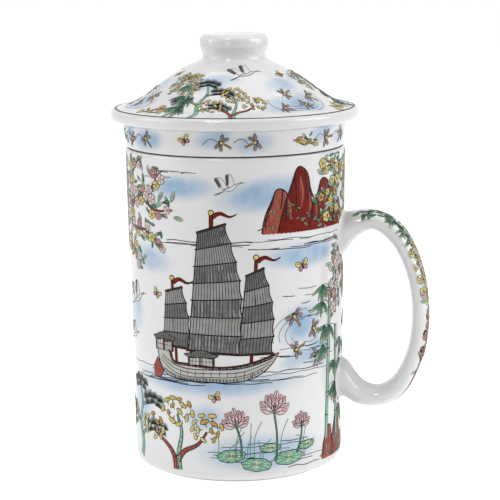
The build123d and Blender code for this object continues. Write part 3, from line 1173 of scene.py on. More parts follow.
leaf_small = leaf_stamp(3.8, 1.5, "jade")
leaf_dark = leaf_stamp(3.4, 1.3, "green")
bamboo_leaf = leaf_stamp(6.8, 1.35, "green", 0.1)
pink_blossom = blossom_stamp(1.95, "pink", "yellow")
rose_blossom = blossom_stamp(1.7, "rose", "yellow")
yellow_blossom = blossom_stamp(1.75, "yellow", "ochre")
gold_blossom = blossom_stamp(1.6, "ochre", "coral")
red_blossom = blossom_stamp(1.6, "iron_red", "yellow")
pink_bud = bud_stamp(1.0, "rose")
yellow_bud = bud_stamp(0.9, "yellow")
ginkgo_pale = ginkgo_stamp(1.75, "yellow")
ginkgo_dark = ginkgo_stamp(1.7, "ochre")
needles = needle_stamp(2.7)
moss_tuft = moss_stamp()
dragonfly = dragonfly_stamp()
butterfly = butterfly_stamp("yellow", "rose")
crane = crane_stamp()


# --- where the prints lie -------------------------------------------------------------------------
def mug_radius(z):
    """The outer radius of the mug's tapered wall at a height."""
    return mug_base_radius + (mug_rim_radius - mug_base_radius) * z / mug_height


def follower(path):
    """A function that gives radius and height on a section curve, by the length along it and the
    distance out from it. Outwards is to the right of the way along."""
    length = run_lengths(path)
    run = np.gradient(path, length, axis=0)

    def at(along, out):
        """Radius and height so far along the curve and so far out from it."""
        radius, z, run_out, run_up = (np.interp(along, length, line) for line in (*path.T, *run.T))
        size = np.hypot(run_out, run_up)
        return radius + out * run_up / size, z - out * run_out / size

    at.total = length[-1]
    return at


def round_axis(radius, z, angle):
    """Points turned about the axis."""
    return np.stack([radius * np.cos(angle), radius * np.sin(angle), z], 1)


def on_mug(flat, out):
    """x runs right from the front, and y is the height: on the straight wall it is the true one."""
    side = follower(mug_side())
    radius, z = side(flat[:, 1] - mug_side()[-1, 1] + side.total, out)
    return round_axis(radius, z, front_angle + flat[:, 0] / print_radius)


def on_collar(flat, out):
    """x runs right from the front and y is the height above the collar's foot."""
    flare = (collar_top_radius - collar_bottom_radius) / (lid_seat - mug_height)
    radius = collar_bottom_radius + flare * flat[:, 1] + out
    return round_axis(radius, mug_height + flat[:, 1], front_angle + flat[:, 0] / print_radius)


def over_dome(radius):
    """How far from the middle of the flat disc a radius on the dome lies."""
    bend = dome()[::-1]
    return crown_radius + np.interp(radius, bend[:, 0], run_lengths(bend))


def on_lid(flat, out):
    """The dome rolled out as a flat disc, with its front at the bottom."""
    top = follower(lid_outside())
    radius, z = top(top.total + crown_radius - np.hypot(*flat.T), out)
    return round_axis(radius, z, np.arctan2(flat[:, 1], flat[:, 0]) + front_angle + math.pi / 2)


def on_handle(flat, out):
    """y runs up the outer face from the lower root, and x across it."""
    place = [np.interp(handle_length[-1] - flat[:, 1], handle_length, column) for column in handle_stations.T]
    x, z, lean, thickness, width = place
    tilt = np.arcsin(np.clip(2 * flat[:, 0] / width, -0.95, 0.95))
    rise = thickness / 2 * np.cos(tilt) + out
    return np.stack([x - np.sin(lean) * rise, flat[:, 0], z + np.cos(lean) * rise], 1)


def film(sheet, place, name, body):
    """Lays a sheet on its body as closed films of fired enamel, one piece for each colour."""
    for enamel_name, (points, faces) in sheet.art.items():
        points = np.array(points)
        count = len(points)
        upper = place(points[:, :2], points[:, 2])
        lower = place(points[:, :2], np.full(count, -print_sink))
        edges = {(a, b) for face in faces for a, b in zip(face, face[1:] + face[:1])}
        walls = [(b, a, a + count, b + count) for a, b in edges if (b, a) not in edges]
        under = [[corner + count for corner in face[::-1]] for face in faces]
        piece = mesh_piece(
            f"{name}_{enamel_name}", np.concatenate([upper, lower]), faces + under + walls,
            enamels[enamel_name],
        )
        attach(piece, body)


def round_places(piece):
    """Radius, angle from the front and height of each of a piece's points, in millimetres."""
    x, y, z = (mesh_points(piece.data) / MM).T
    return np.hypot(x, y), np.arctan2(y, x) - front_angle, z


def washed(x, y, spots, around_length=None):
    """How much cobalt lies at points: soft ovals, each (x, y, width, height, turn, strength)."""
    steepness = 1.35
    amount = np.zeros(len(x))
    for left, up, width, height, turn, strength in spots:
        across = x - left
        if around_length:
            across = (across + around_length / 2) % around_length - around_length / 2
        c, s = math.cos(turn), math.sin(turn)
        away = np.hypot((across * c + (y - up) * s) * 2 / width, ((y - up) * c - across * s) * 2 / height)
        amount = 1 - (1 - amount) * (1 - strength * eased(np.clip(steepness * (1 - away), 0, 1)))
    return amount


# --- porcelain bodies -----------------------------------------------------------------------------
def fine_between(profile, first, last):
    """A profile whose stretch between two of its points is divided finely enough to carry the washes."""
    return np.concatenate([profile[:first], divided(profile[first:last + 1], wash_row), profile[last + 1:]])


def mug_section():
    """The mug's section, and which of its points are on the outer wall from corner to rim."""
    foot_inner = foot_radius - foot_width
    outline = [
        (0, foot_height), (foot_inner, foot_height), (foot_inner, 0), (foot_radius, 0),
        (foot_radius, foot_height), (mug_radius(foot_height), foot_height), (mug_rim_radius, mug_height),
        (mug_rim_radius - mug_wall, mug_height), (mug_radius(mug_floor_top) - mug_wall, mug_floor_top),
        (0, mug_floor_top),
    ]
    fillets = [foot_fillet] * 4
    fillets += [mug_corner_fillet, mug_rim_fillet, mug_rim_inner_fillet, mug_inside_fillet]
    profile = rounded(outline, fillets, 7)
    outside_foot = foot_radius + 0.35
    below_rim = mug_height - 0.95 * mug_rim_fillet
    return profile, np.argmax(profile[:, 0] > outside_foot), np.argmax(profile[:, 1] > below_rim) - 1


def mug_side():
    """The outer wall's section from its rounded foot up to where the rim starts to round."""
    profile, first, last = mug_section()
    return profile[first:last + 1]


def mug_body():
    """The tapered cup, glazed all over but for the bottom of its foot ring."""
    piece = turned("mug_porcelain", fine_between(*mug_section()), porcelain)
    foot_inner = foot_radius - foot_width - foot_fillet
    coat(piece, raw_clay, lambda radius, z: z < foot_bare_height and radius > foot_inner)
    return piece


def drill_strainer(piece):
    """Cuts the strainer's holes, in rings through the floor and staggered rows through the wall."""
    spots = [(0, 0, basket_bottom + basket_floor / 2)]
    aims = [(0, 0, 1)]
    for ring in range(1, floor_rings + 1):
        for angle in np.linspace(0, 2 * math.pi, ring * holes_per_ring_step, endpoint=False):
            reach = ring * floor_ring_pitch
            spots.append((reach * math.cos(angle), reach * math.sin(angle), spots[0][2]))
            aims.append((0, 0, 1))
    for row in range(wall_hole_rows):
        z = basket_bottom + wall_first_row + row * wall_row_pitch
        for hole in range(wall_holes_per_row):
            angle = (hole + 0.5 * (row % 2)) * 2 * math.pi / wall_holes_per_row
            aim = (math.cos(angle), math.sin(angle), 0)
            spots.append((basket_bottom_radius * aim[0], basket_bottom_radius * aim[1], z))
            aims.append(aim)
    anchors = bpy.data.meshes.new("holes")
    anchors.from_pydata((np.array(spots) * MM).tolist(), [], [])
    anchors.attributes.new("aim", "FLOAT_VECTOR", "POINT").data.foreach_set(
        "vector", np.array(aims, np.float32).ravel()
    )
    piece.data = grown(
        piece, drilling_tree(),
        {"Anchors": put_in_scene("holes", anchors), "Hole radius": strainer_hole / 2 * MM,
         "Drill length": 4 * basket_wall * MM, "Sides": strainer_hole_sides, "Glaze": porcelain},
    )
    bpy.data.meshes.remove(anchors)
    piece.data.shade_smooth()
    piece.data.set_sharp_from_angle(angle=math.radians(35))


def infuser():
    """Collar, shoulder and strainer basket in one casting. A narrow rebate under the collar's edge
    leaves a shadow line above the mug's rim. Black ink enamel on the rebate's hidden faces darkens
    that line as painted shade."""
    shoulder_top = mug_height + shoulder_thickness
    groove_top = mug_height + seam_gap
    outline = [
        (0, basket_bottom), (basket_bottom_radius, basket_bottom), (basket_top_radius, mug_height),
        (collar_bottom_radius - seam_depth, mug_height), (collar_bottom_radius - seam_depth, groove_top),
        (collar_bottom_radius, groove_top), (collar_top_radius, lid_seat),
        (collar_top_radius - collar_wall, lid_seat), (collar_bottom_radius - collar_wall, shoulder_top),
        (basket_top_radius - basket_wall, shoulder_top),
        (basket_bottom_radius - basket_wall, basket_bottom + basket_floor),
        (0, basket_bottom + basket_floor),
    ]
    fillets = [
        basket_corner_fillet, shoulder_fillet, 0, 0, collar_bottom_fillet, collar_top_fillet,
        collar_top_fillet, shoulder_inside_fillet, shoulder_inside_fillet, basket_inside_fillet,
    ]
    profile = rounded(outline, fillets, 6)
    skin = collar_bottom_radius - 0.3
    outside = np.flatnonzero(profile[:, 0] > skin)
    piece = turned("infuser_porcelain", fine_between(profile, outside[0], outside[-1]), porcelain)
    drill_strainer(piece)
    # painted shade: the rebate's hidden faces inside the seam get black ink enamel to darken the crevice
    hair = 0.01
    coat(piece, enamels["ink"], lambda radius, z: radius < skin and hair < z - mug_height < seam_gap + hair)
    return piece


def dome():
    """The dome's outer curve from its rim up to the crown."""
    width = lid_rim_radius - lid_rim_land - crown_radius
    base = lid_seat + dome_edge_height
    points = [(crown_radius, crown)]
    points += [(crown_radius + across * width, base + up * (crown - base)) for across, up in dome_curve]
    points.append((crown_radius + width, base))
    return spline(points, 0.6)[::-1]


def lid_outside():
    """The lid's section from under its rim, round it and up the dome."""
    rim = [
        (flange_radius, lid_seat), (lid_rim_radius, lid_seat), (lid_rim_radius, lid_seat + lid_rim_height),
        tuple(dome()[0]),
    ]
    rim = rounded(rim, [lid_rim_bottom_fillet, lid_rim_top_fillet], 8)
    return np.concatenate([divided(rim, 0.8), dome()[1:]])


def lid():
    """A thin domed lid with a locating flange. Its crown is open under the knob."""
    bend = dome()
    run = np.gradient(bend, axis=0)
    run /= np.hypot(*run.T)[:, None]
    under = (bend - lid_wall * np.stack([run[:, 1], -run[:, 0]], 1))[::-1]
    inner = flange_radius - flange_thickness
    top_z = np.interp(inner, under[:, 0], under[:, 1])
    under = under[(under[:, 0] > crown_hole_radius) & (under[:, 0] < inner - 0.3)]
    flange = [
        (inner, top_z), (inner, lid_seat - flange_depth), (flange_radius, lid_seat - flange_depth),
        (flange_radius, lid_seat),
    ]
    flange = rounded(flange, [flange_fillet, flange_fillet], 5)
    hole = [(crown_hole_radius, crown), (crown_hole_radius, under[0, 1])]
    profile = np.concatenate([under, flange, lid_outside()[1:], hole])
    piece = turned("lid_porcelain", profile, porcelain)
    coat(piece, raw_clay, lambda radius, z: z < lid_seat - flange_depth + flange_bare_height)
    return piece


def lid_knob():
    """A cast button, flat on top and drawn in below its side, hollow beneath. Its slip runs out into
    the dome without a step."""
    bend = dome()[::-1]
    hole_sink, crown_sink, foot_sink = 0.5, 0.8, 0.05
    foot = np.interp(knob_foot_radius, *bend.T) - foot_sink
    outline = [
        (crown_hole_radius, crown - hole_sink), (crown_radius, crown - crown_sink), (knob_foot_radius, foot),
        (knob_neck_radius, crown + knob_neck_height), (knob_radius, crown + knob_side_height),
        (knob_radius, knob_top), (0, knob_top),
    ]
    outside = rounded(outline, [0, 0, knob_foot_fillet, knob_neck_fillet, knob_top_fillet], 8)
    cap_under = knob_top - knob_cap_thickness
    hollow = [(0, cap_under), (crown_hole_radius, cap_under), outline[0]]
    hollow = rounded(hollow, [knob_hollow_fillet], 5)
    return turned("knob_porcelain", np.concatenate([hollow[:-1], outside]), porcelain)


def root_stations(root, side, lean):
    """Upright stations of one root from the loop inwards. The last one is inside the mug's wall."""
    end = handle_loop_middle + side * handle_loop_half_height
    found = []
    for step, (out, inwards, thickness) in enumerate(root, start=1):
        z = end - side * inwards
        width = handle_width + handle_root_extra_width * step / len(root)
        found.append((mug_radius(z) + out, z, lean, thickness, width))
    return found + [(mug_radius(z) - handle_root_depth, z, lean, thickness, width)]


def loop_station(turn):
    """The station where the loop's ellipse has this angle: its top is at a quarter turn."""
    slant = math.tan(handle_loop_lean)
    across = handle_loop_half_width * math.cos(turn)
    up = handle_loop_half_height * math.sin(turn)
    drop = handle_loop_half_height * math.cos(turn)
    lean = -math.atan2(drop, handle_loop_half_width * math.sin(turn) + slant * drop)
    thicker = math.sin(turn) ** 2 * (handle_end_thickness - handle_outer_thickness)
    x = mug_radius(handle_loop_middle) + handle_loop_offset + across - slant * up
    return x, handle_loop_middle + up, lean, handle_outer_thickness + thicker, handle_width


def handle_path():
    """Stations all along the handle from the upper root to the lower: x, z, the way that it runs,
    thickness and width. They are close together where the slip swells, which is looked for in the
    first and the last few millimetres of a fine path."""
    stations = root_stations(handle_upper_root, 1, 0)[::-1]
    stations += [loop_station(turn) for turn in np.radians(np.linspace(90, -90, 9))]
    stations += root_stations(handle_lower_root, -1, -math.pi)
    step, root = 0.1, 60
    fine = spline(stations, step)
    length = run_lengths(fine)
    out = fine[:, 0] - mug_radius(fine[:, 1])
    outs = slip_fillet * (1 - np.sin(np.linspace(math.pi / 2, 0, 9)))
    outs = np.concatenate([[-handle_root_depth], outs])
    first = np.interp(outs, out[:root], length[:root])
    last = np.interp(outs, out[:-root:-1], length[:-root:-1])[::-1]
    even = np.linspace(first[-1], last[0], handle_rows)[1:-1]
    wanted = np.concatenate([first, even, last])
    return np.stack([np.interp(wanted, length, column) for column in fine.T], 1)


def handle():
    """An oval strap swept round its loop. Both roots follow the mug's wall and swell into it with slip."""
    angles = np.linspace(0, 2 * math.pi, handle_sides, endpoint=False)
    rings = []
    for x, z, lean, thickness, width in handle_stations:
        out = x - mug_radius(z)
        short = slip_fillet - np.clip(out, 0, slip_fillet)
        swell_out = slip_fillet - math.sqrt(slip_fillet**2 - short**2)
        across = (width / 2 + swell_out) * np.cos(angles)
        rise = (thickness / 2 + swell_out) * np.sin(angles)
        straight = x - math.sin(lean) * rise
        up = z + math.cos(lean) * rise
        hugging = np.sqrt((mug_radius(up) + out) ** 2 - across**2)
        near = 1 - eased(np.clip(out / handle_root_reach, 0, 1))
        rings.append(np.stack([straight + (hugging - straight) * near, across, up], 1))
    points = np.concatenate(rings)
    faces = []
    for ring in range(len(rings) - 1):
        start = ring * handle_sides
        for side in range(handle_sides):
            a, b = start + side, start + (side + 1) % handle_sides
            faces.append((a, b, b + handle_sides, a + handle_sides))
    last = (len(rings) - 1) * handle_sides
    faces.append(tuple(range(handle_sides))[::-1])
    faces.append(tuple(range(last, last + handle_sides)))
    return mesh_piece("handle_porcelain", points, faces, porcelain)


# --- printed scenes -------------------------------------------------------------------------------
# x runs round the mug from the front, with the handle at 53, and y is the height
def sprinkle(sheet, motif, spots, seed):
    """Stamps a motif at (x, y, turn in degrees, size) spots."""
    anchors = [(x, y, math.radians(turn), size) for x, y, turn, size in spots]
    stamp(sheet, motif, anchors, seed, 0.1, 0.1)


def plum_branch(seed):
    """A red plum branch that reaches up and to the right from (0, 0)."""
    return blossoming_branch(
        [(0, 0), (6, 6), (11, 8), (17, 15), (24, 17), (32, 25)],
        [[(6, 6), (5, 13), (9, 20), (7, 27)], [(11, 8), (18, 5), (24, 5), (31, 1)],
         [(17, 15), (15, 22), (20, 29)], [(24, 17), (29, 13), (36, 13)],
         [(3, 3), (9, -2), (15, -3), (20, -8)]],
        2.6, (pink_blossom, yellow_blossom, rose_blossom, pink_blossom), seed,
    )


def gold_branch(seed):
    """A branch of yellow blossom that reaches down and to the left from (0, 0)."""
    return blossoming_branch(
        [(0, 0), (-6, -3), (-12, -4), (-18, -10), (-25, -12)],
        [[(-6, -3), (-8, -10), (-6, -17), (-9, -24)], [(-12, -4), (-17, -1), (-23, -2)],
         [(-18, -10), (-18, -16), (-22, -21)], [(-3, -2), (-2, -10), (1, -18), (-1, -27)]],
        1.8, (yellow_blossom, gold_blossom, yellow_blossom), seed, 2.8,
    )


def pink_spray(seed):
    """A spray of pink blossom that hangs down and a little to the left from (0, 0)."""
    return blossoming_branch(
        [(0, 0), (-3, -7), (-5, -15), (-9, -22), (-10, -31)],
        [[(-3, -7), (-8, -10), (-12, -16)], [(-5, -15), (-1, -21), (0, -28)], [(-9, -22), (-14, -27)]],
        1.6, (pink_blossom, rose_blossom, pink_blossom), seed, 2.6,
    )


def plum_sprig(seed):
    """A slim flowering twig about 12 long that rises to the right."""
    return blossoming_branch(
        [(-6, -1), (-2, 0.6), (2, 0.2), (6, 1.8)], [[(-2, 0.6), (-0.5, 2.4), (2, 3.2)]],
        0.9, (yellow_blossom, gold_blossom), seed, 1.2,
    )


def old_pine(seed):
    """A leaning pine about 30 tall."""
    return pine(
        [(0, 0), (1.5, 6), (-0.5, 13), (2, 20), (0.5, 27)],
        [[(1, 8), (6, 11.5), (12, 12)], [(-0.5, 13), (-6, 15.5), (-11, 16)],
         [(1.8, 20), (7, 21.5), (10, 22)]],
        2.6, seed,
    )


def young_ginkgo(seed):
    """A forked ginkgo about 24 tall with red and green stems."""
    return ginkgo_tree(
        [([(0, 0), (-1, 5), (-5, 9), (-11, 12)], "coral"), ([(1.4, 0), (1.4, 7), (2.6, 13), (1, 19)], "jade"),
         ([(0.6, 3), (4, 7), (8, 9), (12, 14)], "coral")], seed,
    )


def garden_rock(seed):
    """A low red rock with moss and leaves on it."""
    return crags([(-4, 9, 12, "coral"), (3, 11, 16, "iron_red"), (8, 6, 7, "coral")], seed)


def front_scene():
    """A river boat under sail before red peaks, with cranes, blossom, bamboo, pine and lotus."""
    sheet = Sheet()
    waves(sheet, -24, 107, 24, 5, 7, 2)
    waves(sheet, 8, 84, 74, 5, 12, 3)
    waves(sheet, 26, 62, 26, 14, 8, 5)
    waves(sheet, -12, 37.5, 84, 5, 15, 4)
    waves(sheet, 24, 44, 40, 8, 8, 6)
    whirl(sheet, 27, 52, 15, 19)
    sheet.level = 1
    sheet.lay(junk(), -10, 37)
    sheet.lay(crags([(-12, 13, 15, "coral"), (11, 12, 14, "coral"), (-4, 17, 22, "iron_red"),
                     (7, 15, 17, "iron_red"), (17, 9, 9, "iron_red")], 5), 27, 88.5)
    sheet.lay(plum_branch(7), -60, 83, size=0.98)
    sheet.lay(lotus_pond(15), 9, 9, size=0.9)
    sheet.lay(old_pine(13), -45, 5, size=0.95)
    sheet.lay(garden_rock(9), 43, 5)
    sprinkle(sheet, crane, [(-44, 62, 12, 0.85), (-49, 48, 4, 0.7), (-2, 104, 8, 0.62)], 16)
    sprinkle(sheet, dragonfly, [(21, 58, 35, 0.8), (30, 53, 75, 0.78), (22, 47, 115, 0.75),
                                (31, 43, -30, 0.78)], 17)
    sprinkle(sheet, butterfly, [(24, 76, 20, 0.95), (-31, 66, -30, 0.8), (-8, 31, 30, 0.85)], 18)
    sheet.level = 6
    sheet.lay(young_ginkgo(14), -24, 4, size=1.05)
    sheet.lay(bamboo(54, 0.03, 11), 37, 12)
    sheet.lay(bamboo(36, -0.04, 12), 45, 12)
    sheet.lay(pink_spray(19), 53, 90)
    sheet.lay(gold_branch(8), 58, 111)
    return sheet


def back_scene():
    """A humped bridge below red peaks, with a small boat, blossom, bamboo, pine and lotus."""
    sheet = Sheet()
    waves(sheet, 122, 82, 84, 6, 14, 23)
    waves(sheet, 122, 37, 96, 7, 20, 24)
    waves(sheet, 146, 62, 40, 6, 9, 26)
    whirl(sheet, 128, 56, 15, 40)
    waves(sheet, 154, 107, 30, 5, 7, 21)
    sheet.level = 1
    sheet.lay(bridge(), 112, 38, size=1.15)
    sheet.lay(junk(), 152, 64, size=0.6)
    sheet.lay(crags([(-16, 14, 16, "coral"), (13, 14, 15, "coral"), (-6, 19, 24, "iron_red"),
                     (7, 17, 19, "iron_red")], 25), 108, 86)
    sheet.lay(plum_branch(27), 182, 82, flip=True, size=0.95)
    sheet.lay(lotus_pond(36), 116, 9, size=0.9)
    sheet.lay(old_pine(33), 150, 5)
    sheet.lay(garden_rock(29), 66, 5, flip=True)
    sprinkle(sheet, crane, [(94, 72, 6, 0.85), (168, 52, -4, 0.8), (136, 104, 8, 0.62)], 37)
    sprinkle(sheet, dragonfly, [(130, 61, 30, 0.8), (122, 57, 80, 0.75), (133, 52, -20, 0.8)], 38)
    sprinkle(sheet, butterfly, [(86, 58, 20, 0.9), (160, 94, -25, 0.85)], 39)
    sheet.level = 6
    sheet.lay(bamboo(70, 0.04, 31), 71, 12)
    sheet.lay(bamboo(54, -0.05, 32), 63, 12)
    sheet.lay(young_ginkgo(34), 172, 4)
    sheet.lay(young_ginkgo(35), 88, 4, size=0.95, flip=True)
    return sheet


def collar_scene():
    """Dragonflies and butterflies on the wind, with a yellow sprig now and then."""
    sheet = Sheet()
    twigs = [plum_sprig(41), plum_sprig(46)]
    step = print_width / collar_repeats
    for place in range(collar_repeats):
        x = place * step - 13
        if place % 2:
            sheet.lay(twigs[place // 2 % 2], x - 1, 3.6, size=0.7, flip=place % 4 == 1)
        else:
            sprinkle(sheet, butterfly, [(x - 4, 5.8, 25, 0.85)], 52 + place)
        sprinkle(sheet, dragonfly, [(x + 9, 5.0, 62 + 30 * place, 0.64),
                                    (x + 19, 5.1, 20 * place - 60, 0.66)], 42 + place)
        for turn, start in ((0.5, 2.2), (-0.3, 12.5)):
            arc = [(x + start + 5 * share, 5.0 + turn * (2 * share - 1) + 1.6 * math.sin(math.pi * share))
                   for share in np.linspace(0, 1, 8)]
            line(sheet, arc, 0.2)
    return sheet


def lid_scene(turns):
    """Pines, ginkgos, bamboo and dragonflies standing round the dome, their feet on a ring at its rim."""
    sheet = Sheet()

    def stand(motif, turn, foot, size=1.0):
        """Stands a motif so far from the middle, a turn round from the front."""
        angle = math.radians(turn)
        sheet.lay(motif, foot * math.sin(angle), -foot * math.cos(angle), angle, size)

    def one(motif, lean, size, seed):
        """A single stamp on a sheet of its own."""
        alone = Sheet()
        sprinkle(alone, motif, [(0, 0, lean, size)], seed)
        return alone

    for turn in turns:
        sheet.level = 1
        stand(old_pine(61 + turn), turn - 22, rim_line - 0.4, 0.72)
        stand(plum_sprig(63 + turn), turn + 71, rim_line - 3.4, 0.9)
        stand(gold_branch(60 + turn), turn + 88, rim_line - 26, 0.42)
        stand(one(crane, 10, 0.7, 67), turn + 12, rim_line - 26)
        stand(one(butterfly, 30, 0.8, 68), turn + 50, rim_line - 25)
        for across, inwards, lean in ((30, 7, 60), (37, 15, 110), (45, 8, -30), (56, 12, 40)):
            stand(one(dragonfly, lean, 0.72, 40 + across), turn + across, rim_line - inwards)
        wind = Sheet()
        whirl(wind, 0, 0, 14, 90 + turn)
        stand(wind, turn + 40, rim_line - 12)
        sheet.level = 5
        stand(young_ginkgo(62 + turn), turn - 2, rim_line - 0.6, 0.72)
        for lean, across, tall in ((0.08, 84, 15), (-0.06, 88, 20)):
            stand(bamboo(tall, lean, 65 + turn + tall, 4), turn + across, rim_line - 0.6, 0.7)
    return sheet


def lid_line():
    """The thin ring round the foot of the dome."""
    sheet = Sheet()
    ring = np.array([(math.sin(a), -math.cos(a)) for a in np.linspace(0, 2 * math.pi, 361)])
    line(sheet, rim_line * ring, 0.9)
    return sheet


def handle_spray():
    """Two flowering vines that climb the outer face of the handle side by side: woody at the lower root,
    leafy at the upper one."""
    sheet = Sheet()
    chance = random.Random(81)
    total = handle_length[-1]
    heights = np.arange(7, total - 5, 5.0)
    middle = np.interp(heights / total, [0.0, 0.35, 0.75, 0.92], [1.2, 3.0, 3.0, 4.4])

    def grow(stem, motif, low, high, reach, gap, seed):
        """Sets a motif on both sides of a stretch of the stem, given in shares of its length."""
        part = stem[int(low * len(stem)):int(high * len(stem))]
        anchors = [
            (x, y, chance.uniform(-2.6, 2.6), chance.uniform(0.7, 0.95))
            for x, y in beside(part, reach, gap, chance, 0.0)
        ]
        stamp(sheet, motif, anchors, seed)

    for side in (-1, 1):
        sway = 1.1 * np.sin(heights / 6.5) + side * middle
        stem = spline(np.stack([sway, heights], 1), 0.9)
        sheet.level = 0
        brush(sheet, "coral", stem, lambda share: 1.1 * np.clip(1 - 1.6 * share, 0, 1) + 0.3, 0.26)
        grow(stem, leaf_small, 0.3, 0.8, 2.8, 3.2, 82)
        for seed in (83, 84, 85):
            grow(stem, leaf_dark, 0.8, 1.0, 1.5, 1.8, seed)
        sheet.level = 1
        for motif, low, high, gap in (
            (red_blossom, 0.36, 0.54, 2.8), (rose_blossom, 0.34, 0.5, 3.2), (pink_blossom, 0.5, 0.76, 4.0),
            (yellow_bud, 0.56, 0.8, 2.4), (yellow_blossom, 0.54, 0.78, 3.2),
        ):
            grow(stem, motif, low, high, 2.2, gap, 84 + int(100 * low))
    return sheet


# --- cobalt washes --------------------------------------------------------------------------------
# soft ovals in the glaze: x, y, width, height, turn, strength
mug_washes = [
    (10, 102, 44, 15, 0.15, 0.95), (-20, 104, 34, 11, 0.05, 0.9), (44, 98, 24, 20, 0.2, 0.7),
    (-10, 36, 84, 12, 0.0, 0.82), (26, 80, 44, 12, 0.05, 0.85), (-34, 78, 26, 12, -0.1, 0.7),
    (-48, 58, 22, 22, 0.3, 0.69), (24, 56, 24, 18, 0.3, 0.82), (31, 45, 20, 16, 0.1, 0.77),
    (21, 43, 16, 9, 0.2, 0.6), (8, 11, 58, 17, 0.0, 0.73), (-46, 24, 28, 26, 0.2, 0.65),
    (-12, 24, 20, 12, 0.2, 0.52), (116, 36, 80, 12, 0.0, 0.82), (108, 80, 50, 11, 0.05, 0.69),
    (152, 62, 40, 12, 0.0, 0.73), (128, 56, 30, 18, 0.2, 0.77), (116, 11, 58, 17, 0.0, 0.73),
    (136, 102, 40, 15, -0.15, 0.82), (82, 98, 28, 16, 0.2, 0.6), (168, 46, 28, 16, 0.1, 0.6),
    (84, 54, 20, 24, 0.1, 0.6), (150, 24, 26, 22, 0.1, 0.6),
]
collar_washes = [
    (place * print_width / collar_repeats - 13 + shift, y, wide, 9.5, lean, strength)
    for place in range(-3, 6)
    for shift, y, wide, lean, strength in ((6, 6.8, 17, 0.3, 0.7), (19, 5.0, 20, 0.1, 0.62))
]
lid_washes = [
    (reach * math.sin(math.radians(turn + shift)), -reach * math.cos(math.radians(turn + shift)),
     wide, tall, math.radians(turn + shift), strength)
    for turn in (0, 120, 240)
    for shift, reach, wide, tall, strength in (
        (31, 38, 26, 13, 0.75), (48, 38, 22, 16, 0.75), (40, 27, 20, 11, 0.6),
        (96, 26, 24, 11, 0.6), (-12, 23, 20, 8, 0.5), (68, 24, 16, 8, 0.5),
    )
]


# --- making the object ----------------------------------------------------------------------------
handle_stations = handle_path()
handle_length = run_lengths(handle_stations)
rim_line = over_dome(lid_rim_radius - lid_rim_land)

mug, collar, cover = mug_body(), infuser(), lid()
for piece, body, slot, stood_for in (
    (mug, "mug", "printed_porcelain", "mug_body"),
    (handle(), "mug", "printed_porcelain", "mug_handle"),
    (collar, "infuser", "printed_porcelain", "infuser"),
    (cover, "lid", "printed_porcelain", "lid"),
    (lid_knob(), "lid", "plain_porcelain", "lid_knob"),
):
    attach(piece, body)
    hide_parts(stood_for)

radius, turn, z = round_places(mug)
outside = radius > mug_radius(z) - wash_skin
fading = np.clip((print_top - z) / wash_row, 0, 1)
set_attribute(mug, "wash", outside * fading * washed(turn * print_radius, z, mug_washes, print_width))

radius, turn, z = round_places(collar)
outside = (radius > collar_bottom_radius - wash_skin) & (z > mug_height + 2 * collar_bottom_fillet)
set_attribute(
    collar, "wash", outside * washed(turn * print_radius, z - mug_height, collar_washes, print_width)
)

radius, turn, z = round_places(cover)
turn = turn - math.pi / 2
reach = over_dome(radius)
outside = z > lid_seat + 0.5 * lid_rim_height + (radius < flange_radius) * 1.0
set_attribute(cover, "wash", outside * washed(reach * np.cos(turn), reach * np.sin(turn), lid_washes))

film(front_scene(), on_mug, "mug_front", "mug")
film(back_scene(), on_mug, "mug_back", "mug")
film(collar_scene(), on_collar, "collar_print", "infuser")
film(lid_scene([0]), on_lid, "lid_front", "lid")
film(lid_scene([120, 240]), on_lid, "lid_back", "lid")
film(lid_line(), on_lid, "lid_line", "lid")
film(handle_spray(), on_handle, "handle_print", "mug")


# --- studio ---------------------------------------------------------------------------------------
def sight_lines(tree):
    """1 where the eye looks straight or through glass, and 1 where it looks by way of a reflection."""
    seen = node(tree, "ShaderNodeLightPath").outputs
    straight = node(
        tree, "ShaderNodeMath", {0: seen["Is Camera Ray"], 1: seen["Is Transmission Ray"]},
        operation="MAXIMUM",
    )
    return straight.outputs[0], seen["Is Glossy Ray"]


def studio_floor():
    """A white light table: it reads white to the eye, glows a little round the object, and keeps the
    object's shadow. Close to the foot it gives less light and a darker reflection."""
    material, tree, shader = new_material("studio_floor")
    shader.inputs["Base Color"].default_value = linear("#F2F2F2")
    shader.inputs["Roughness"].default_value = 0.9
    place = node(tree, "ShaderNodeTexCoord").outputs["Object"]
    away = node(tree, "ShaderNodeVectorMath", {0: place}, operation="LENGTH").outputs["Value"]
    near, far, shade = (
        node(tree, "ShaderNodeMapRange", {"Value": away, "From Min": start, "From Max": end,
                                          "To Min": low, "To Max": high}).outputs[0]
        for start, end, low, high in (
            (0.05, 0.3, table_glow, 0.0), (0.05, 1.3, near_glow, 0.9), (0.04, 0.08, foot_shade, 1.0)
        )
    )
    given, mirrored = (
        node(tree, "ShaderNodeMath", {0: light, 1: shade}, operation="MULTIPLY").outputs[0]
        for light in (near, far)
    )
    straight, glossy = sight_lines(tree)
    unseen = node(tree, "ShaderNodeMapRange", {"Value": glossy, "To Min": given, "To Max": mirrored})
    strength = node(
        tree, "ShaderNodeMapRange", {"Value": straight, "To Min": unseen.outputs[0], "To Max": far}
    )
    shader.inputs["Emission Color"].default_value = (1, 1, 1, 1)
    tree.links.new(strength.outputs[0], shader.inputs["Emission Strength"])
    half = 5.0
    mesh = bpy.data.meshes.new("floor")
    corners = [(-half, -half, 0), (half, -half, 0), (half, half, 0), (-half, half, 0)]
    mesh.from_pydata(corners, [], [(0, 1, 2, 3)])
    mesh.materials.append(material)
    put_in_scene("floor", mesh)


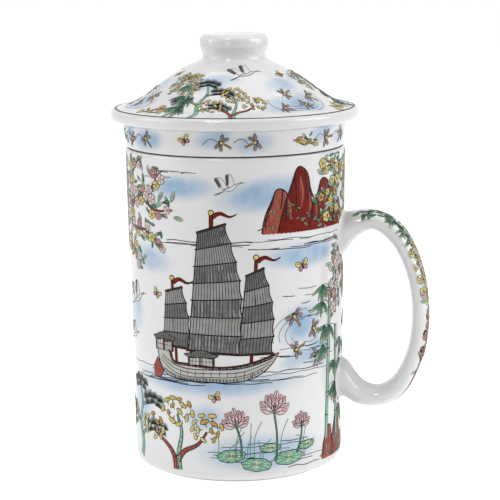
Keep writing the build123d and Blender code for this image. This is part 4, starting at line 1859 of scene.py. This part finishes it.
def studio_world():
    """White to the eye and in reflections, and a soft pale grey fill on the object."""
    world = bpy.data.worlds.new("studio")
    world.use_nodes = True
    tree = world.node_tree
    tree.nodes.clear()
    straight, glossy = sight_lines(tree)
    open_view = node(tree, "ShaderNodeMath", {0: straight, 1: glossy}, operation="MAXIMUM")
    strength = node(
        tree, "ShaderNodeMapRange", {"Value": open_view.outputs[0], "To Min": world_fill, "To Max": 1.0}
    )
    sky = node(tree, "ShaderNodeBackground", {"Color": (1, 1, 1, 1), "Strength": strength.outputs[0]})
    node(tree, "ShaderNodeOutputWorld", {"Surface": sky.outputs[0]})
    bpy.context.scene.world = world


def softbox(name, turn, rise, away, size, power):
    """A rectangular area light, so many degrees round and up from the mug's middle, that faces it."""
    turn, rise = math.radians(turn), math.radians(rise)
    arm = Vector((math.cos(rise) * math.cos(turn), math.cos(rise) * math.sin(turn), math.sin(rise)))
    light = bpy.data.lights.new(name, "AREA")
    light.shape = "RECTANGLE"
    light.size, light.size_y = size
    light.energy = power
    holder = put_in_scene(name, light)
    holder.location = Vector((0, 0, MM * mug_height / 2)) + away * arm
    holder.rotation_euler = (-arm).to_track_quat("-Z", "Y").to_euler()


def camera():
    """A long lens a little above the rim, looking slightly down with the handle to the right."""
    pitch, yaw, roll, orbit = (math.radians(angle) for angle in (10.07, 0.40, -0.64, 10.0))
    place = (0.12065, -0.68425, 0.1997)
    ahead = Vector((math.sin(yaw) * math.cos(pitch), math.cos(yaw) * math.cos(pitch), -math.sin(pitch)))
    right = Vector((math.cos(yaw), -math.sin(yaw), 0))
    up = right.cross(ahead)
    across = math.cos(roll) * right + math.sin(roll) * up
    upright = math.cos(roll) * up - math.sin(roll) * right
    turn = Matrix.Rotation(orbit, 3, "Z")
    frame_axes = Matrix([turn @ across, turn @ upright, turn @ -ahead]).transposed()
    lens = bpy.data.cameras.new("camera")
    lens.lens = 141.39
    lens.sensor_width = 36.0
    holder = put_in_scene("camera", lens)
    holder.matrix_world = Matrix.Translation(place) @ frame_axes.to_4x4()
    bpy.context.scene.camera = holder


world_fill = 0.03  # how much light the open sky gives to the object
table_glow = 0.45  # how much the light table gives at its brightest, round the foot
near_glow = 0.75  # how bright the table looks there in a reflection
foot_shade = 0.55  # the share of both that is left right beside the foot
studio_world()
studio_floor()
for name, turn, rise, away, size, power in (
    ("left", 193, 24, 1.05, (0.35, 0.8), 2.2),
    ("left_window", 216, 20, 1.05, (0.25, 0.5), 1.0),
    ("right", 8, 24, 1.05, (0.35, 0.8), 3.3),
    ("right_window", 347, 22, 1.05, (0.28, 0.6), 2.2),
    ("front", 253, 56, 1.23, (0.3, 0.3), 3.6),
    ("low_front", 260, 8, 1.1, (0.1, 0.22), 0.3),
    ("top", 90, 82, 1.03, (1.0, 1.0), 3.6),
):
    softbox(name, turn, rise, away, size, power)
camera()
bpy.context.scene.view_settings.view_transform = "Standard"
